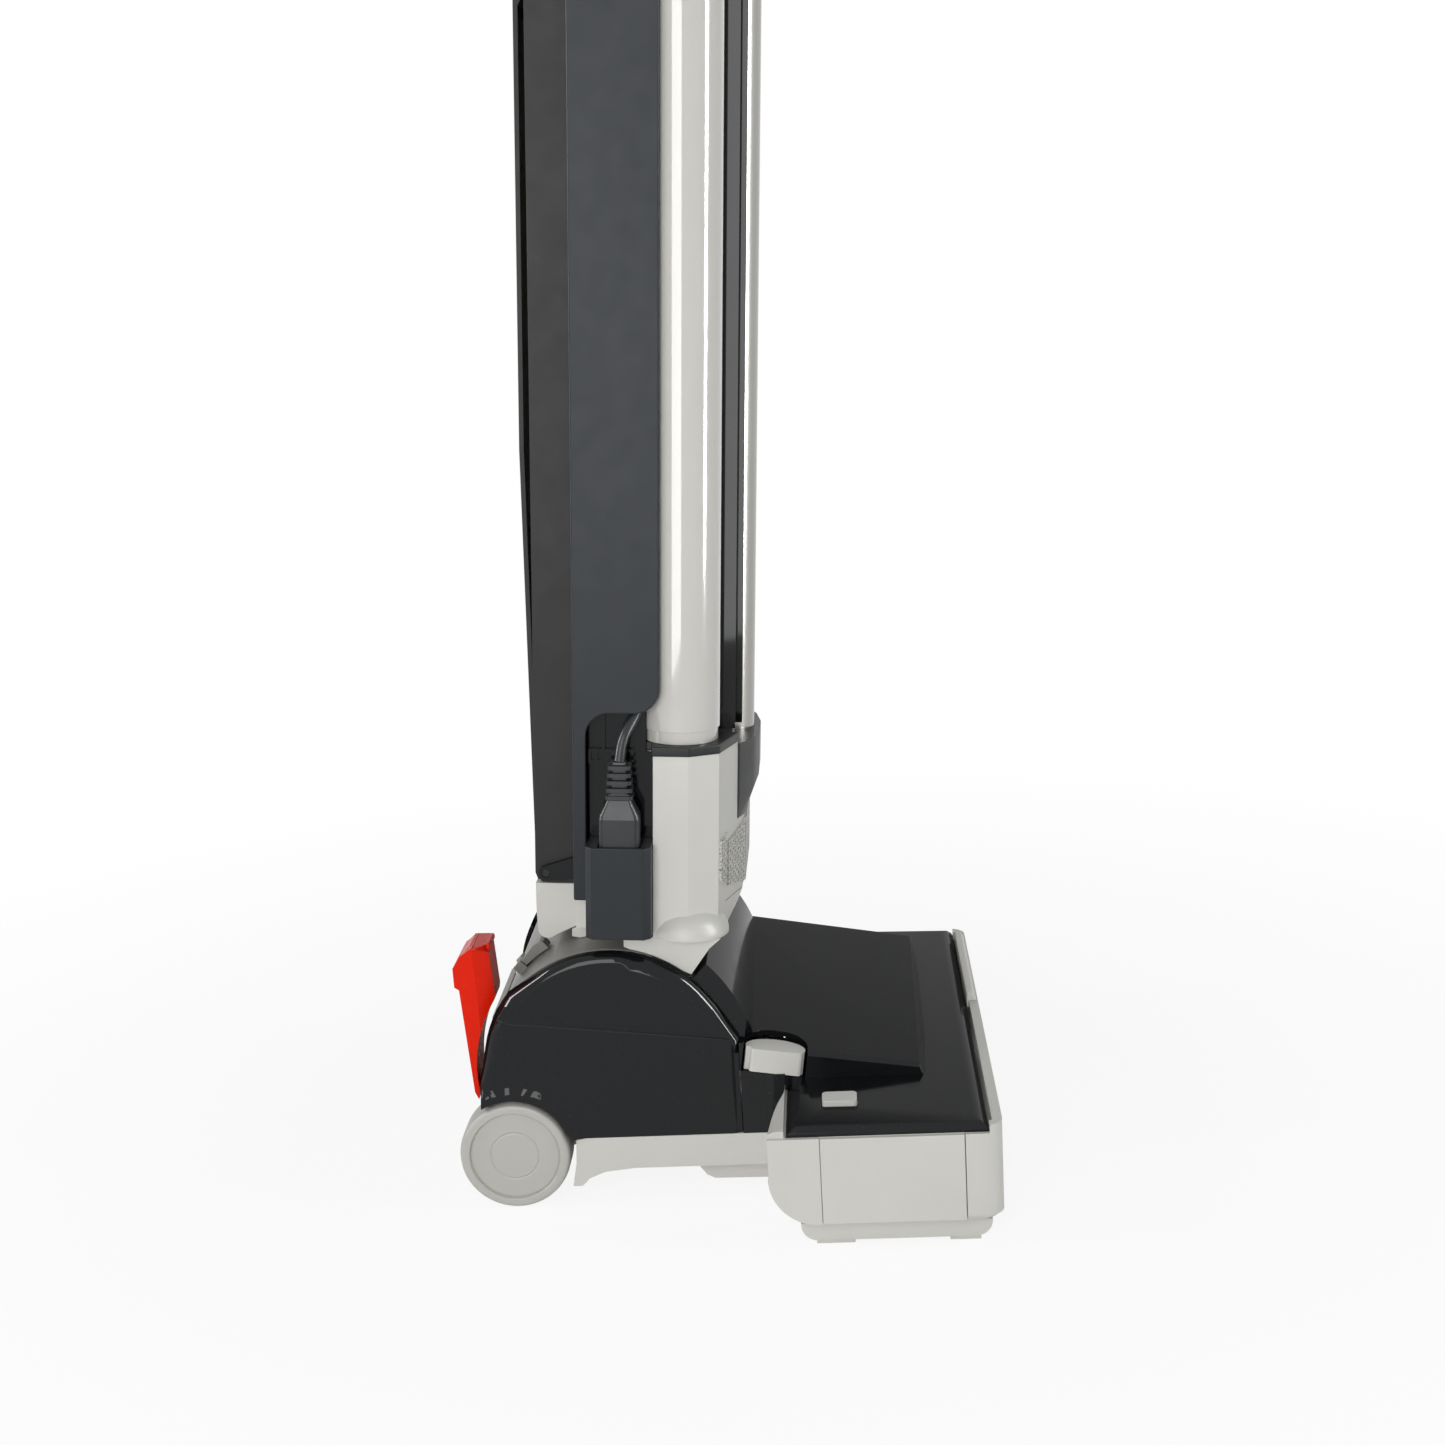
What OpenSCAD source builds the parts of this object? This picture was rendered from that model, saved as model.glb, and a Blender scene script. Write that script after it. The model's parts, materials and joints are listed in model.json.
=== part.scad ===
// Upright vacuum cleaner: a floor head on two wheels with a reclining column.
// Front is -Y, the operator stands at +Y, +Z is up. The origin is on the floor,
// under the middle of the machine. The socket side of the column is -X.

/* [Cleaning head] */
// Width across the two end panels
head_w = 358; // [350:1:366]
// Width of the body behind the brush block
body_w = 208; // [206:1:210]
// Depth of the brush block, front to back
block_d = 139; // [136:1:142]
// Height of the brush block's sides
block_top = 73; // [72:1:74]
// Height of the hood's front edge
hood_front_z = 86; // [84:1:88]
// Height of the hood's rear edge
hood_rear_z = 121; // [118:1:123]
// Wall thickness of the mouldings
wall = 3; // [2.4:0.1:3.4]

/* [Wheels and brush] */
// Radius of the rear wheels
wheel_r = 35; // [34:0.5:36]
// Distance of the wheel axle behind the bumper
wheel_y = 300.3; // [298:0.1:302]
// Radius of the wheel axle
axle_r = 5; // [4:0.5:6]
// Radius over the brush's bristles
brush_r = 32; // [31:0.5:33]
// Radius of the brush's core
brush_core_r = 17; // [15:0.5:18]
// Distance of the brush axis behind the bumper
brush_y = 62; // [61:1:63]
// Height of the brush axis
brush_z = 34; // [33.5:0.5:35]

/* [Column] */
// Distance of the column's pivot behind the bumper
pivot_y = 237; // [236:1:238]
// Height of the column's pivot
pivot_z = 89; // [88:1:90]
// Radius of the side domes
dome_r = 79; // [78.5:0.5:79.5]
// Radius of the drum between the domes
drum_r = 77; // [76.5:0.5:77.5]
// Forward lean of the parked column
lean = 3.5; // [2:0.5:5]
// Height of the bag compartment's top above the pivot
body_top = 650; // [640:1:660]
// Height of the handle's top above the pivot
handle_top = 1125; // [1115:1:1135]
// Radius of the suction tube
tube_r = 24; // [23.5:0.5:24]
// Radius of the wand
wand_r = 17.5; // [17:0.5:18]
// Radius of the hose over its ribs
hose_r = 19; // [18:0.5:20]

/* [Mains cord] */
// Diameter of the cord
cord_d = 7; // [6.5:0.5:7.5]
// Loops in the hank
hank_loops = 16; // [8:8:16]
// Step from one loop of the hank to the next outward
hank_step = 8.6; // [8.4:0.1:9]
// Step from one layer of the hank to the next
hank_layer = 8; // [7.8:0.1:8.2]

/* [Hidden] */
$fn = 64;

eps = 0.01;
gap = 0.3;              // clearance between pieces of different bodies
run_fit = 0.05;         // radial clearance of a shaft in its bore
depth = wheel_y + wheel_r;
half_w = head_w / 2;
side_x = body_w / 2;
axle_z = wheel_r;
barrel_r = 80.5;          // inner radius of the fixed pieces round the drum

// Colours
light_gray = [0.78, 0.77, 0.75];
mid_gray = [0.55, 0.55, 0.54];
dark_shell = [0.06, 0.07, 0.08];
slate = [0.13, 0.15, 0.18];
red = [0.87, 0.18, 0.05];
steel = [0.72, 0.72, 0.70];
rubber = [0.05, 0.05, 0.05];

// Frames: the head's runs back from the bumper, the column's up from its pivot.
module head() {
    translate([0, -depth / 2, 0]) children();
}
module column() {
    translate([0, pivot_y - depth / 2, pivot_z]) rotate([lean, 0, 0]) children();
}

// A profile drawn in (y, z), extruded along X from x0 to x1.
module slab_x(x0, x1) {
    translate([x0, 0, 0]) rotate([90, 0, 90]) linear_extrude(x1 - x0) children();
}
// A cylinder along X from x0 to x1 about (y, z).
module rod_x(x0, x1, r, y = 0, z = 0) {
    translate([x0, y, z]) rotate([0, 90, 0]) cylinder(h = x1 - x0, r = r);
}
module tube_x(x0, x1, r_out, r_in, y = 0, z = 0) {
    difference() {
        rod_x(x0, x1, r_out, y, z);
        rod_x(x0 - 1, x1 + 1, r_in, y, z);
    }
}
// A box from one corner to the other.
module box(a, b) {
    translate(a) cube(b - a);
}
module both_sides() {
    children();
    mirror([1, 0, 0]) children();
}
// A rectangle from a to b with true arcs of radius r at its corners.
module round_rect(a, b, r) {
    translate([a.x + r, a.y]) square([b.x - a.x - 2 * r, b.y - a.y]);
    translate([a.x, a.y + r]) square([b.x - a.x, b.y - a.y - 2 * r]);
    for (x = [a.x + r, b.x - r], y = [a.y + r, b.y - r]) translate([x, y]) circle(r);
}

// Points along an arc about c, from angle a0 to a1.
function arc(c, r, a0, a1, n = 8) =
    [for (i = [0:n]) c + r * [cos(a0 + (a1 - a0) * i / n), sin(a0 + (a1 - a0) * i / n)]];

// ---- Cleaning head ------------------------------------------------------------------

seam_front = 22.4;      // seam between the bumper and the end panel
seam_rear = 107.9;      // seam between the end panel and the block's rear corner
block_bottom = 18;
panel_t = 3;
block_x = half_w - panel_t;
corner_r = 30;          // round of the block's lower rear corner
band_top = 45;          // top of the band under the domes
band_rear = 265;
belt_x = 92;            // middle of the belt
belt_w = 9;
belt_t = 2.4;
motor_pulley_r = 12;
brush_pulley_r = 15;
bearing_x = 154;        // inner face of the brush bearings
bearing_w = 13.8;
stub_r = 5;

module block_profile(t) {
    difference() {
        union() {
            translate([seam_front + t, block_bottom + t])
                square([block_d - seam_front - corner_r - t, block_top - block_bottom - 2 * t]);
            translate([block_d - corner_r, block_bottom + corner_r]) circle(corner_r - t);
            translate([block_d - corner_r, block_bottom + corner_r])
                square([corner_r - t, block_top - block_bottom - corner_r]);
        }
        translate([0, block_top - t]) square([block_d + 1, 60]);
    }
}
// Light grey lower moulding: brush block, band under the domes and rear tongue.
module base_pan() {
    color(light_gray) head() difference() {
        union() {
            difference() {
                slab_x(-block_x, block_x) block_profile(0);
                slab_x(-block_x + wall + 5, block_x - wall - 5)
                    translate([seam_front - 1, block_bottom - 1]) square([97, block_top]);
                slab_x(-100, 100) intersection() {
                    block_profile(wall);
                    translate([124, 0]) square([40, 100]);
                }
                both_sides() box([-block_x + wall + 5, 117, block_bottom + wall], [-104, 124.5, 80]);
                box([-side_x + wall, block_d - 6, 27], [side_x - wall, block_d + 1, 80]);
                box([-side_x + wall, 120, block_top - wall - 1], [side_x - wall, block_d, 80]);
            }
            // rear corners of the block, out to the end panels' faces
            both_sides() slab_x(-half_w, -block_x + eps) difference() {
                block_profile(0);
                square([seam_rear, 200]);
            }
            // ledge behind the hood's wing
            both_sides() slab_x(-half_w + 3, -side_x - 0.3) polygon([
                [128.6, block_top - 1], [block_d, block_top - 1], [138.2, 75.2], [134.5, 77], [128.6, 77]
            ]);
            // belly between the brush block and the wheels
            slab_x(-92, 92) polygon([
                [block_d - 4, 25], [187, 25], [185.5, 18.5], [181, 12.5], [176, 10], [block_d - 4, 9.5]
            ]);
            // band under the domes, with its arched lower edge
            difference() {
                slab_x(-side_x, side_x) polygon([
                    [block_d - 4, 24], [225, 24], [244, 22], [254, 18], [259, 13], [band_rear, 13],
                    [262, 28], [261, band_top], [block_d - 4, band_top]
                ]);
                box([-side_x + wall, block_d - 5, 27], [side_x - wall, 258, 80]);
            }
            // tongue between the wheels, which carries the axle and the pedal's pin
            slab_x(-64, 64) polygon([
                [257, 24], [316, 20], [319, 24], [319, 50], [300, 50], [290, 46], [257, 44]
            ]);
            slab_x(-64, -50) polygon([[304, 45], [319, 45], [319, 62], [316, 65], [308, 65], [304, 61]]);
            // apron behind the drum
            slab_x(-46, 46) translate([pivot_y, pivot_z]) polygon(concat(
                arc([0, 0], barrel_r - 1, -29, 12), arc([0, 0], barrel_r + 2, 12, -29)));
        }
        // the block's upper rear edge draws in towards the body
        both_sides() translate([0, 0, band_top + 1.2]) linear_extrude(60) polygon([
            [-half_w - 1, 138.6], [-172, 137.8], [-155, 135.9], [-135, 132.9], [-118, 129.3],
            [-111, 128.7], [-side_x - 0.2, 128.7], [-side_x - 0.2, 145], [-half_w - 1, 145]]);
        rod_x(-70, 70, axle_r, wheel_y, axle_z);
        rod_x(-70, -48, pin_r, pin_y, pin_z);
        box([-89, block_d + 0.5, 12.5], [89, 175, 28]);
        // belt's way through the block's rear wall
        box([belt_x - 9, 114, 30], [belt_x + 9, block_d + 1, block_top]);
    }
}
module front_bumper() {
    color(light_gray) head() difference() {
        union() {
            translate([0, 0, 21]) linear_extrude(57) bumper_plan(0);
            translate([0, 0, block_bottom]) linear_extrude(3) bumper_plan(3);
        }
        translate([0, 0, block_bottom - 1]) linear_extrude(70) bumper_plan(6);
        // step that takes the front edge of the hood
        box([-half_w + 8, 6, block_top], [half_w - 8, 40, 90]);
        box([-half_w - 1, 8, block_top], [half_w + 1, 40, 90]);
    }
}
module bumper_plan(t) {
    intersection() {
        round_rect([-half_w + t, t], [half_w - t, 60 - t], 12 - t / 2);
        translate([-half_w, 0]) square([head_w, seam_front - gap / 2]);
    }
}
// Light grey insert let into the front edge on the far side.
module front_insert() {
    color(light_gray) head() slab_x(26, 157)
        polygon([[0.6, 78.05], [6.1, 78.05], [6.1, 73.2], [7.6, 73.2], [7.6, 84], [3.5, 84]]);
}
module sole_plate() {
    color(light_gray) head() difference() {
        union() {
            translate([0, 0, 8]) linear_extrude(block_bottom - 8) round_rect([-168, 7], [168, 121], 8);
            // ends run down to carry the feet, with rounded toes
            both_sides() slab_x(-168, -154) polygon(concat(
                arc([17, 13], 10, 180, 270), arc([111, 13], 10, 270, 360), [[121, 14], [7, 14]]));
        }
        box([-152, brush_y - 31, 0], [152, brush_y + 31, 30]);
        for (x = [-160, 160], y = [20, 106]) translate([x, y, 0]) {
            cylinder(h = 30, r = 2);
            cylinder(h = 5.25, r = 3.5);
        }
    }
}
module sole_feet() {
    color(light_gray) head() both_sides() for (y = [[13, 33.4], [88, 113]]) difference() {
        box([-166, y[0] + 1, 0], [-155, y[1] - 1, 3]);
        translate([-160, y[0] < 50 ? 20 : 106, -1]) cylinder(h = 5, r = 3.6);
    }
}

// Hood: a low front with two wings, and a central body that rises to the drum. Its
// far side is the higher one, to clear the belt.
hood_wing_z = 81.2;
hood_front_y = 42;      // front end of the raised body
module hood_form(t) {
    zw = hood_wing_z - t;
    // low front and wings
    hull() {
        slab_x(-block_x + t, block_x - t) polygon([
            [8 + t, block_top], [9 + t, 75.4 - t], [126 - t, 75.4 - t], [127.4 - t, block_top]]);
        slab_x(-172.5 + t, 172.5 - t) polygon([
            [9 + t, block_top], [12.5 + t, 78.6 - t], [119 - t, zw], [126 - t, block_top]]);
        slab_x(-168 + t, 168 - t) polygon([
            [10 + t, block_top], [17 + t, zw - 1], [117 - t, zw], [124 - t, block_top]]);
    }
    // raised body
    hull() {
        slab_x(-side_x + t, -side_x + 2 + t) polygon([
            [40 + t, block_top], [45 + t, 85 - t], [115, 95 - t], [155.8, 101 - t], [155.8, block_top]]);
        slab_x(-side_x + 3 + t, -side_x + 5 + t) polygon([
            [38 + t, block_top], [45 + t, 87 - t], [115, 97.2 - t], [160, 104.5 - t], [160, block_top]]);
        slab_x(side_x - 6 - t, side_x - 4 - t) polygon([
            [36 + t, block_top], [hood_front_y + t, 100.5 - t], [144, 118 - t],
            [160, hood_rear_z - t], [160, block_top]]);
        slab_x(side_x - 2 - t, side_x - t) polygon([
            [38 + t, block_top], [hood_front_y + 1 + t, 96 - t], [144, 113 - t],
            [155.8, 116 - t], [155.8, block_top]]);
    }
}
module hood() {
    color(dark_shell) head() difference() {
        union() {
            difference() {
                union() {
                    difference() {
                        hood_form(0);
                        translate([0, 0, -2 * eps]) hood_form(wall);
                    }
                    // side walls between the brush block and the domes
                    both_sides()
                        box([-side_x, block_d + 0.2, band_top + eps],
                            [-side_x + wall, 155.8, block_top + 13]);
                }
                rod_x(-side_x - 20, side_x + 20, barrel_r + 0.5, pivot_y, pivot_z);
            }
            // barrel that rises in front of the drum
            slab_x(-barrel_x, barrel_x) translate([pivot_y, pivot_z]) polygon(concat(
                arc([0, 0], drum_r + 1.2, 134.3, 168, 12), arc([0, 0], rise_r, 170, 134.3, 12)));
            // cup under the knob
            intersection() {
                knob_place() translate([0, 0, -3]) cylinder(h = 18, r = knob_well + 1.4);
                box([-side_x, 110, 70], [-60, 155.8, 97]);
            }
        }
        slab_x(-barrel_x + wall, barrel_x - wall) translate([pivot_y, pivot_z]) polygon(concat(
            arc([0, 0], drum_r + 4.2, 137, 175, 12), arc([0, 0], rise_r - wall, 161, 137, 12)));
        both_sides() {
            box([-side_x - 1, dome_front - 0.3, 40], [-79.7, 175, 107.3]);
            box([-side_x - 1, dome_front - 0.3, 40], [-barrel_x - 0.5, 175, 125]);
        }
        knob_place() {
            cylinder(h = 40, r = knob_well);
            translate([0, 0, -20]) cylinder(h = 40, r = knob_stem + run_fit);
            box([-20, -knob_well, 0], [0, knob_well, 40]);
        }
        translate([button_x, button_y, 60]) linear_extrude(60)
            square([button_w + 1, button_l + 1], center = true);
    }
}

// Side dome: a rounded cap over the end of the drum, above a crease, and a body that
// runs down to the band and flares round the wheel.
dome_front = 156.2;
dome_c = [pivot_y - 1, pivot_z - 2.5];
barrel_x = 94.9;        // half width of the drum's rim
rise_r = 90.5;          // outer radius of the hood's barrel
function dome_line(t) = concat(
    [[dome_front + t, band_top + 0.2], [316 - t, band_top + 0.2], [320 - t, 66], [319.5 - t, 82]],
    arc([pivot_y, pivot_z], drum_r + 2.8 - t, 11, 40, 6), arc(dome_c, dome_r - t, 58, 148, 18),
    [[dome_front + t, 107 - t]]);
module dome_outline(t) {
    polygon(dome_line(t));
}
function on_x(x, line) = [for (p = line) [x, p.x, p.y]];
module dome() {
    color(dark_shell) head() difference() {
        union() {
            difference() {
                // rounded outside
                loft([for (c = [[0, 6], [0.6, 3.6], [2, 1.6], [4, 0.4], [6, 0], [side_x - 80, 0]])
                    on_x(-side_x + c[0], dome_line(c[1]))]);
                slab_x(-side_x + wall, -79) dome_outline(7);
                slab_x(-barrel_x - 0.4, -79) {
                    dome_outline(5);
                    translate([pivot_y, pivot_z]) circle(drum_r + 0.4);
                    // the drum takes the place of the upper rim
                    polygon([[140, 107.2], [200, 107.2], [330, 128], [330, 200], [140, 200]]);
                }
                // crease between the cap and the body
                slab_x(-side_x - 1, -side_x + 1.2)
                    polygon([[140, 104.4], [140, 105.2], [330, 138.8], [330, 128.2]]);
            }
            // inside wall behind the hood and boss of the screw
            box([-side_x + 1, dome_front + 0.1, 46], [-80.4, dome_front + 3, 98]);
            rod_x(-side_x + 1, -84.5, 5.2, 282, 81.3);
            // flare round the wheel
            intersection() {
                translate([-side_x + 3, wheel_y, axle_z]) rotate([0, -90, 0])
                    cylinder(h = 5.8, r1 = 56, r2 = 40);
                slab_x(-side_x - 3, -side_x + 1.4) intersection() {
                    dome_outline(1);
                    translate([240, band_top]) square([79, 55]);
                }
            }
        }
        rod_x(-side_x - 5, -70, wheel_r + 2.5, wheel_y, axle_z);
        // way of the bracket's foot
        box([-84.3, pivot_y - bracket_front - gap, 40],
            [-79, pivot_y - bracket_front + bracket_w + gap, 60]);
        rod_x(-side_x - 1, -80, 2.6, 282, 81.3);
        translate([-side_x - 10, 100, 0]) cube([60, 300, band_top + 0.2]);
    }
}
module dome_near() {
    dome();
}
module dome_far() {
    mirror([1, 0, 0]) difference() {
        dome();
        // way of the belt through the cover's front wall
        head() box([-belt_x - 8, 150, 46], [-belt_x + 8, 170, 104]);
    }
}
module end_panel() {
    color(light_gray) head()
        box([-half_w, seam_front + gap, block_bottom + 0.5],
            [-block_x - eps, seam_rear - gap, block_top - gap]);
}
module end_panel_near() {
    end_panel();
}
module end_panel_far() {
    mirror([1, 0, 0]) end_panel();
}
module brush_core() {
    color(mid_gray) head() {
        rod_x(-149, belt_x - 8, brush_core_r, brush_y, brush_z);
        rod_x(belt_x + 8, 149, brush_core_r, brush_y, brush_z);
        rod_x(belt_x - 9, belt_x + 9, 10, brush_y, brush_z);
        rod_x(-bearing_x - bearing_w + 1, bearing_x + bearing_w - 1, stub_r, brush_y, brush_z);
    }
}
// Strip of bristles from x0 to x1 that winds round the core, in steps of about 12 mm.
brush_turn = 0.9;       // degrees of winding per millimetre
strip_w = 5;
function strip_ring(x, start) = let (a = start + brush_turn * x)
    [for (c = [[brush_core_r - 0.8, -strip_w / 2], [brush_r, -strip_w / 2],
        [brush_r, strip_w / 2], [brush_core_r - 0.8, strip_w / 2]])
        [x, brush_y + c.x * cos(a) - c.y * sin(a), brush_z + c.x * sin(a) + c.y * cos(a)]];
module bristle_strip(x0, x1, start) {
    steps = ceil((x1 - x0) / 12);
    loft([for (i = [0:steps]) strip_ring(x0 + (x1 - x0) * i / steps, start)]);
}
module brush_bristles() {
    color(dark_shell) head() for (a = [0, 180]) {
        bristle_strip(-147, belt_x - 9, a);
        bristle_strip(belt_x + 9, 147, a);
    }
}
module brush_bearings() {
    color(slate) head() both_sides() difference() {
        box([-bearing_x - bearing_w, brush_y - 13, 20], [-bearing_x, brush_y + 13, 50]);
        rod_x(-bearing_x - bearing_w - 1, -bearing_x + 1, stub_r + run_fit, brush_y, brush_z);
    }
}
// Flanged pulley of radius r about (y, z), bored for its shaft.
module pulley(r, bore, y, z) {
    difference() {
        union() {
            rod_x(belt_x - 6, belt_x + 6, r, y, z);
            for (x = [belt_x - 6.6, belt_x + 5.1]) rod_x(x, x + 1.5, r + belt_t + 1, y, z);
        }
        rod_x(belt_x - 8, belt_x + 8, bore, y, z);
    }
}
module brush_pulley() {
    color(steel) head() pulley(brush_pulley_r, 10, brush_y, brush_z);
}
module motor_pulley() {
    color(steel) head() pulley(motor_pulley_r, 4, pivot_y, pivot_z);
}
// Outline round both pulleys, grown by t.
module belt_loop(t) {
    hull() {
        translate([brush_y, brush_z]) circle(brush_pulley_r + t, $fn = 48);
        translate([pivot_y, pivot_z]) circle(motor_pulley_r + t, $fn = 48);
    }
}
module drive_belt() {
    color(rubber) head() slab_x(belt_x - belt_w / 2, belt_x + belt_w / 2) difference() {
        belt_loop(gap + belt_t);
        belt_loop(gap);
    }
}
// Plates that stand on the base and carry the drum on their journals.
bracket_w = 46;
bracket_front = 26;     // foot's reach ahead of the pivot
module pivot_brackets() {
    color(steel) head() both_sides() difference() {
        union() {
            slab_x(-84, -79.4) {
                translate([pivot_y, pivot_z]) circle(40);
                translate([pivot_y - bracket_front, 27]) square([bracket_w, 40]);
            }
            rod_x(-80, -72, 30, pivot_y, pivot_z);
        }
        rod_x(-90, -70, 22, pivot_y, pivot_z);
    }
}
module motor() {
    color(steel) head() difference() {
        union() {
            rod_x(-52, 56, 45, pivot_y, pivot_z);
            rod_x(56 - eps, 84, 22, pivot_y, pivot_z);
        }
        rod_x(-60, 90, 4 + run_fit, pivot_y, pivot_z);
    }
}
module motor_shaft() {
    color(steel) head() rod_x(-70, belt_x + 8, 4, pivot_y, pivot_z);
}
module fan() {
    blades = 8;
    color(mid_gray) head() translate([-68, pivot_y, pivot_z]) rotate([0, 90, 0]) difference() {
        union() {
            cylinder(h = 2, r = 40);
            cylinder(h = 12, r = 8);
            for (i = [0:blades - 1]) rotate([0, 0, i * 360 / blades])
                translate([6, -1, 1]) cube([33, 2, 11]);
        }
        translate([0, 0, -1]) cylinder(h = 20, r = 4);
    }
}
module rear_axle() {
    color(steel) head() rod_x(-side_x + 1, side_x - 1, axle_r, wheel_y, axle_z);
}
wheel_out = 106;        // outer face of a wheel
module wheel() {
    color([0.66, 0.66, 0.64]) head() translate([-wheel_out, wheel_y, axle_z]) rotate([0, 90, 0])
        rotate_extrude($fn = 96) polygon([
            [0, 1.5], [14.6, 1.5], [15.2, 2.3], [15.9, 1.5], [27.4, 1.5], [28.1, 2.3], [28.8, 0],
            [31.5, 0], [33.6, 0.8], [wheel_r - 0.5, 2.4], [wheel_r, 4.5], [wheel_r, 22],
            [wheel_r - 1.5, 25], [wheel_r - 4, 26], [28, 26], [28, 12], [9, 12], [9, 26],
            [axle_r + run_fit, 26], [axle_r + run_fit, 2.7], [0, 2.7]
        ]);
}
module wheel_near() {
    wheel();
}
module wheel_far() {
    mirror([1, 0, 0]) wheel();
}

// Foot pedal that frees the column, on its own pin above the near wheel.
pin_r = 3;
pin_y = 312;
pin_z = 57;
module recline_pedal() {
    color(red) head() difference() {
        union() {
            hull() {
                slab_x(-98, -68) polygon([
                    [321.2, 71], [323.4, 76], [328, 143.4], [326.2, 164.9], [318, 170], [316, 96]]);
                slab_x(-91, -68) polygon([
                    [321.2, 71], [314.6, 96], [306.5, 140], [307.8, 158], [315, 170.6], [320, 170.6]]);
            }
            // wider cap
            slab_x(-98, -68) polygon([
                [327, 143], [330.8, 145.6], [331, 157.9], [326.4, 165.4],
                [318, 171], [318, 165], [326, 160]]);
            slab_x(-78, -68) polygon([
                [pin_y - 3, pin_z + 6], [pin_y + 7, pin_z - 1], [323.4, 77], [321.8, 78], [317.4, 74]
            ]);
            rod_x(-78, -68, 7, pin_y, pin_z);
        }
        rod_x(-80, -66, pin_r + run_fit, pin_y, pin_z);
        // clear of the dome and the drum
        rod_x(-100, -60, barrel_r + 3.4, pivot_y, pivot_z);
    }
}
module pedal_pin() {
    color(steel) head() {
        rod_x(-79.4, -50, pin_r, pin_y, pin_z);
        rod_x(-79.8, -78.2, 5, pin_y, pin_z);
    }
}
// Return spring of the pedal, wound on the pin.
module pedal_spring() {
    color(steel) head() tube_x(-67.8, -64.1, 6, pin_r + 0.2, pin_y, pin_z);
}

// Height knob on the near shoulder of the hood: a rounded cap behind a block grip.
knob_x = -98;
knob_y = 135.8;
knob_r = 18.6;
knob_well = 20;         // radius of the well it turns in
knob_floor = 83.6;
knob_lean = 8.5;        // the knob follows the hood's slope
knob_stem = 3.4;
module knob_place() {
    translate([knob_x, knob_y, knob_floor]) rotate([knob_lean, 0, 0]) children();
}
module height_knob() {
    color(light_gray) head() knob_place() {
        translate([0, 0, 0.4]) intersection() {
            scale([0.68, 1, 1]) cylinder(h = 15.2, r = knob_r);
            box([-3, -30, -1], [30, 30, 40]);
        }
        translate([-6.6, 0, 0.6]) linear_extrude(15) round_rect([0, -17.2], [8, 15.2], 2.5);
        translate([0, 0, -7]) cylinder(h = 9, r = knob_stem);
    }
}
button_x = -143;
button_y = 95;
button_l = 21;          // length along the head
button_w = 15;
module release_button() {
    color(light_gray) head() {
        translate([button_x, button_y, 78]) linear_extrude(6.4)
            round_rect([-button_w / 2, -button_l / 2], [button_w / 2, button_l / 2], 3);
        translate([button_x, button_y, 76]) linear_extrude(2 + eps)
            square([button_w - 6, button_l - 8], center = true);
    }
}
module head_screws() {
    color(steel) head() {
        // sole plate screws
        for (x = [-160, 160], y = [20, 106]) translate([x, y, 3.2]) {
            cylinder(h = 2, r = 3.4);
            cylinder(h = 17, r = 2);
        }
        // dome screws, deep in their holes
        both_sides() {
            rod_x(-side_x + 9, -84.5, 2.5, 282, 81.3);
        }
    }
}

// ---- Column -------------------------------------------------------------------------

tube_x0 = 68;           // distance of the tube and the hose from the middle
tube_y = -41.7;
wand_y = -67.3;
plate_z = 200;          // underside of the gasket plate
foot_r = drum_r + 0.3;
cover_x = 95;           // outer face of the side covers
door_x = 64;            // half width of the bag door
door_z = 110;
seam_y = 22.5;          // seam between the body and the bag door
box_x = 110;            // outer face of the socket box
niche_x = 83.2;         // face of the niche's wall behind the connector
cover_foot = 226;       // lower edge of the side covers, top of the niche

// Arc of the drum, measured from the column's axis towards the rear.
drum_front = -118;
drum_rear = 62;
module drum_sector(r) {
    polygon(concat([[0, 0]], arc([0, 0], r, 90 - drum_rear, 90 - drum_front, 24)));
}
module drum_ring(rear, front) {
    polygon(concat(arc([0, 0], drum_r, 90 - rear, 90 - front, 32),
        arc([0, 0], drum_r - 5, 90 - front, 90 - rear, 32)));
}
lever_x = [-62, -50];   // span of the lock lever
lever_pin = (drum_r + 3.4) * [sin(49), cos(49)];
module pivot_drum() {
    color(mid_gray) column() difference() {
        union() {
            slab_x(-78.5, 78.5) drum_ring(drum_rear, drum_front);
            // rim that closes up to the domes
            both_sides() slab_x(-barrel_x, -78.5 + eps) drum_ring(drum_rear, -56);
            both_sides() slab_x(-78.5, -74.5) {
                intersection() {
                    circle(drum_r - 1);
                    drum_sector(120);
                }
                circle(42);
            }
            // ears of the lock lever
            for (x = [lever_x[0] - 2.6, lever_x[1] + 0.3]) slab_x(x, x + 2.3)
                translate(lever_pin) rotate(-49) translate([-3.4, -7]) square([6.8, 9.8]);
        }
        rod_x(-90, 90, 30 + run_fit);
        rod_x(-70, -40, 1.6 + run_fit, lever_pin.x, lever_pin.y);
        // air way up into the column
        box([-30, -30, 40], [30, 12, 100]);
    }
}
// Grey lever that locks the column upright, at the back of the drum.
module lock_lever() {
    color(mid_gray) column() {
        slab_x(lever_x[0], lever_x[1]) {
            translate(lever_pin) circle(2.9);
            polygon(concat(arc([0, 0], drum_r + 1, 90 - 33, 90 - 50),
                [[61.4, 52.2], [58.6, 58], [52.6, 66.6], [48.4, 69.6], [46, 69.3]]));
        }
        rod_x(lever_x[0] - 2.6, lever_x[1] + 2.6, 1.6, lever_pin.x, lever_pin.y);
    }
}
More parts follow.
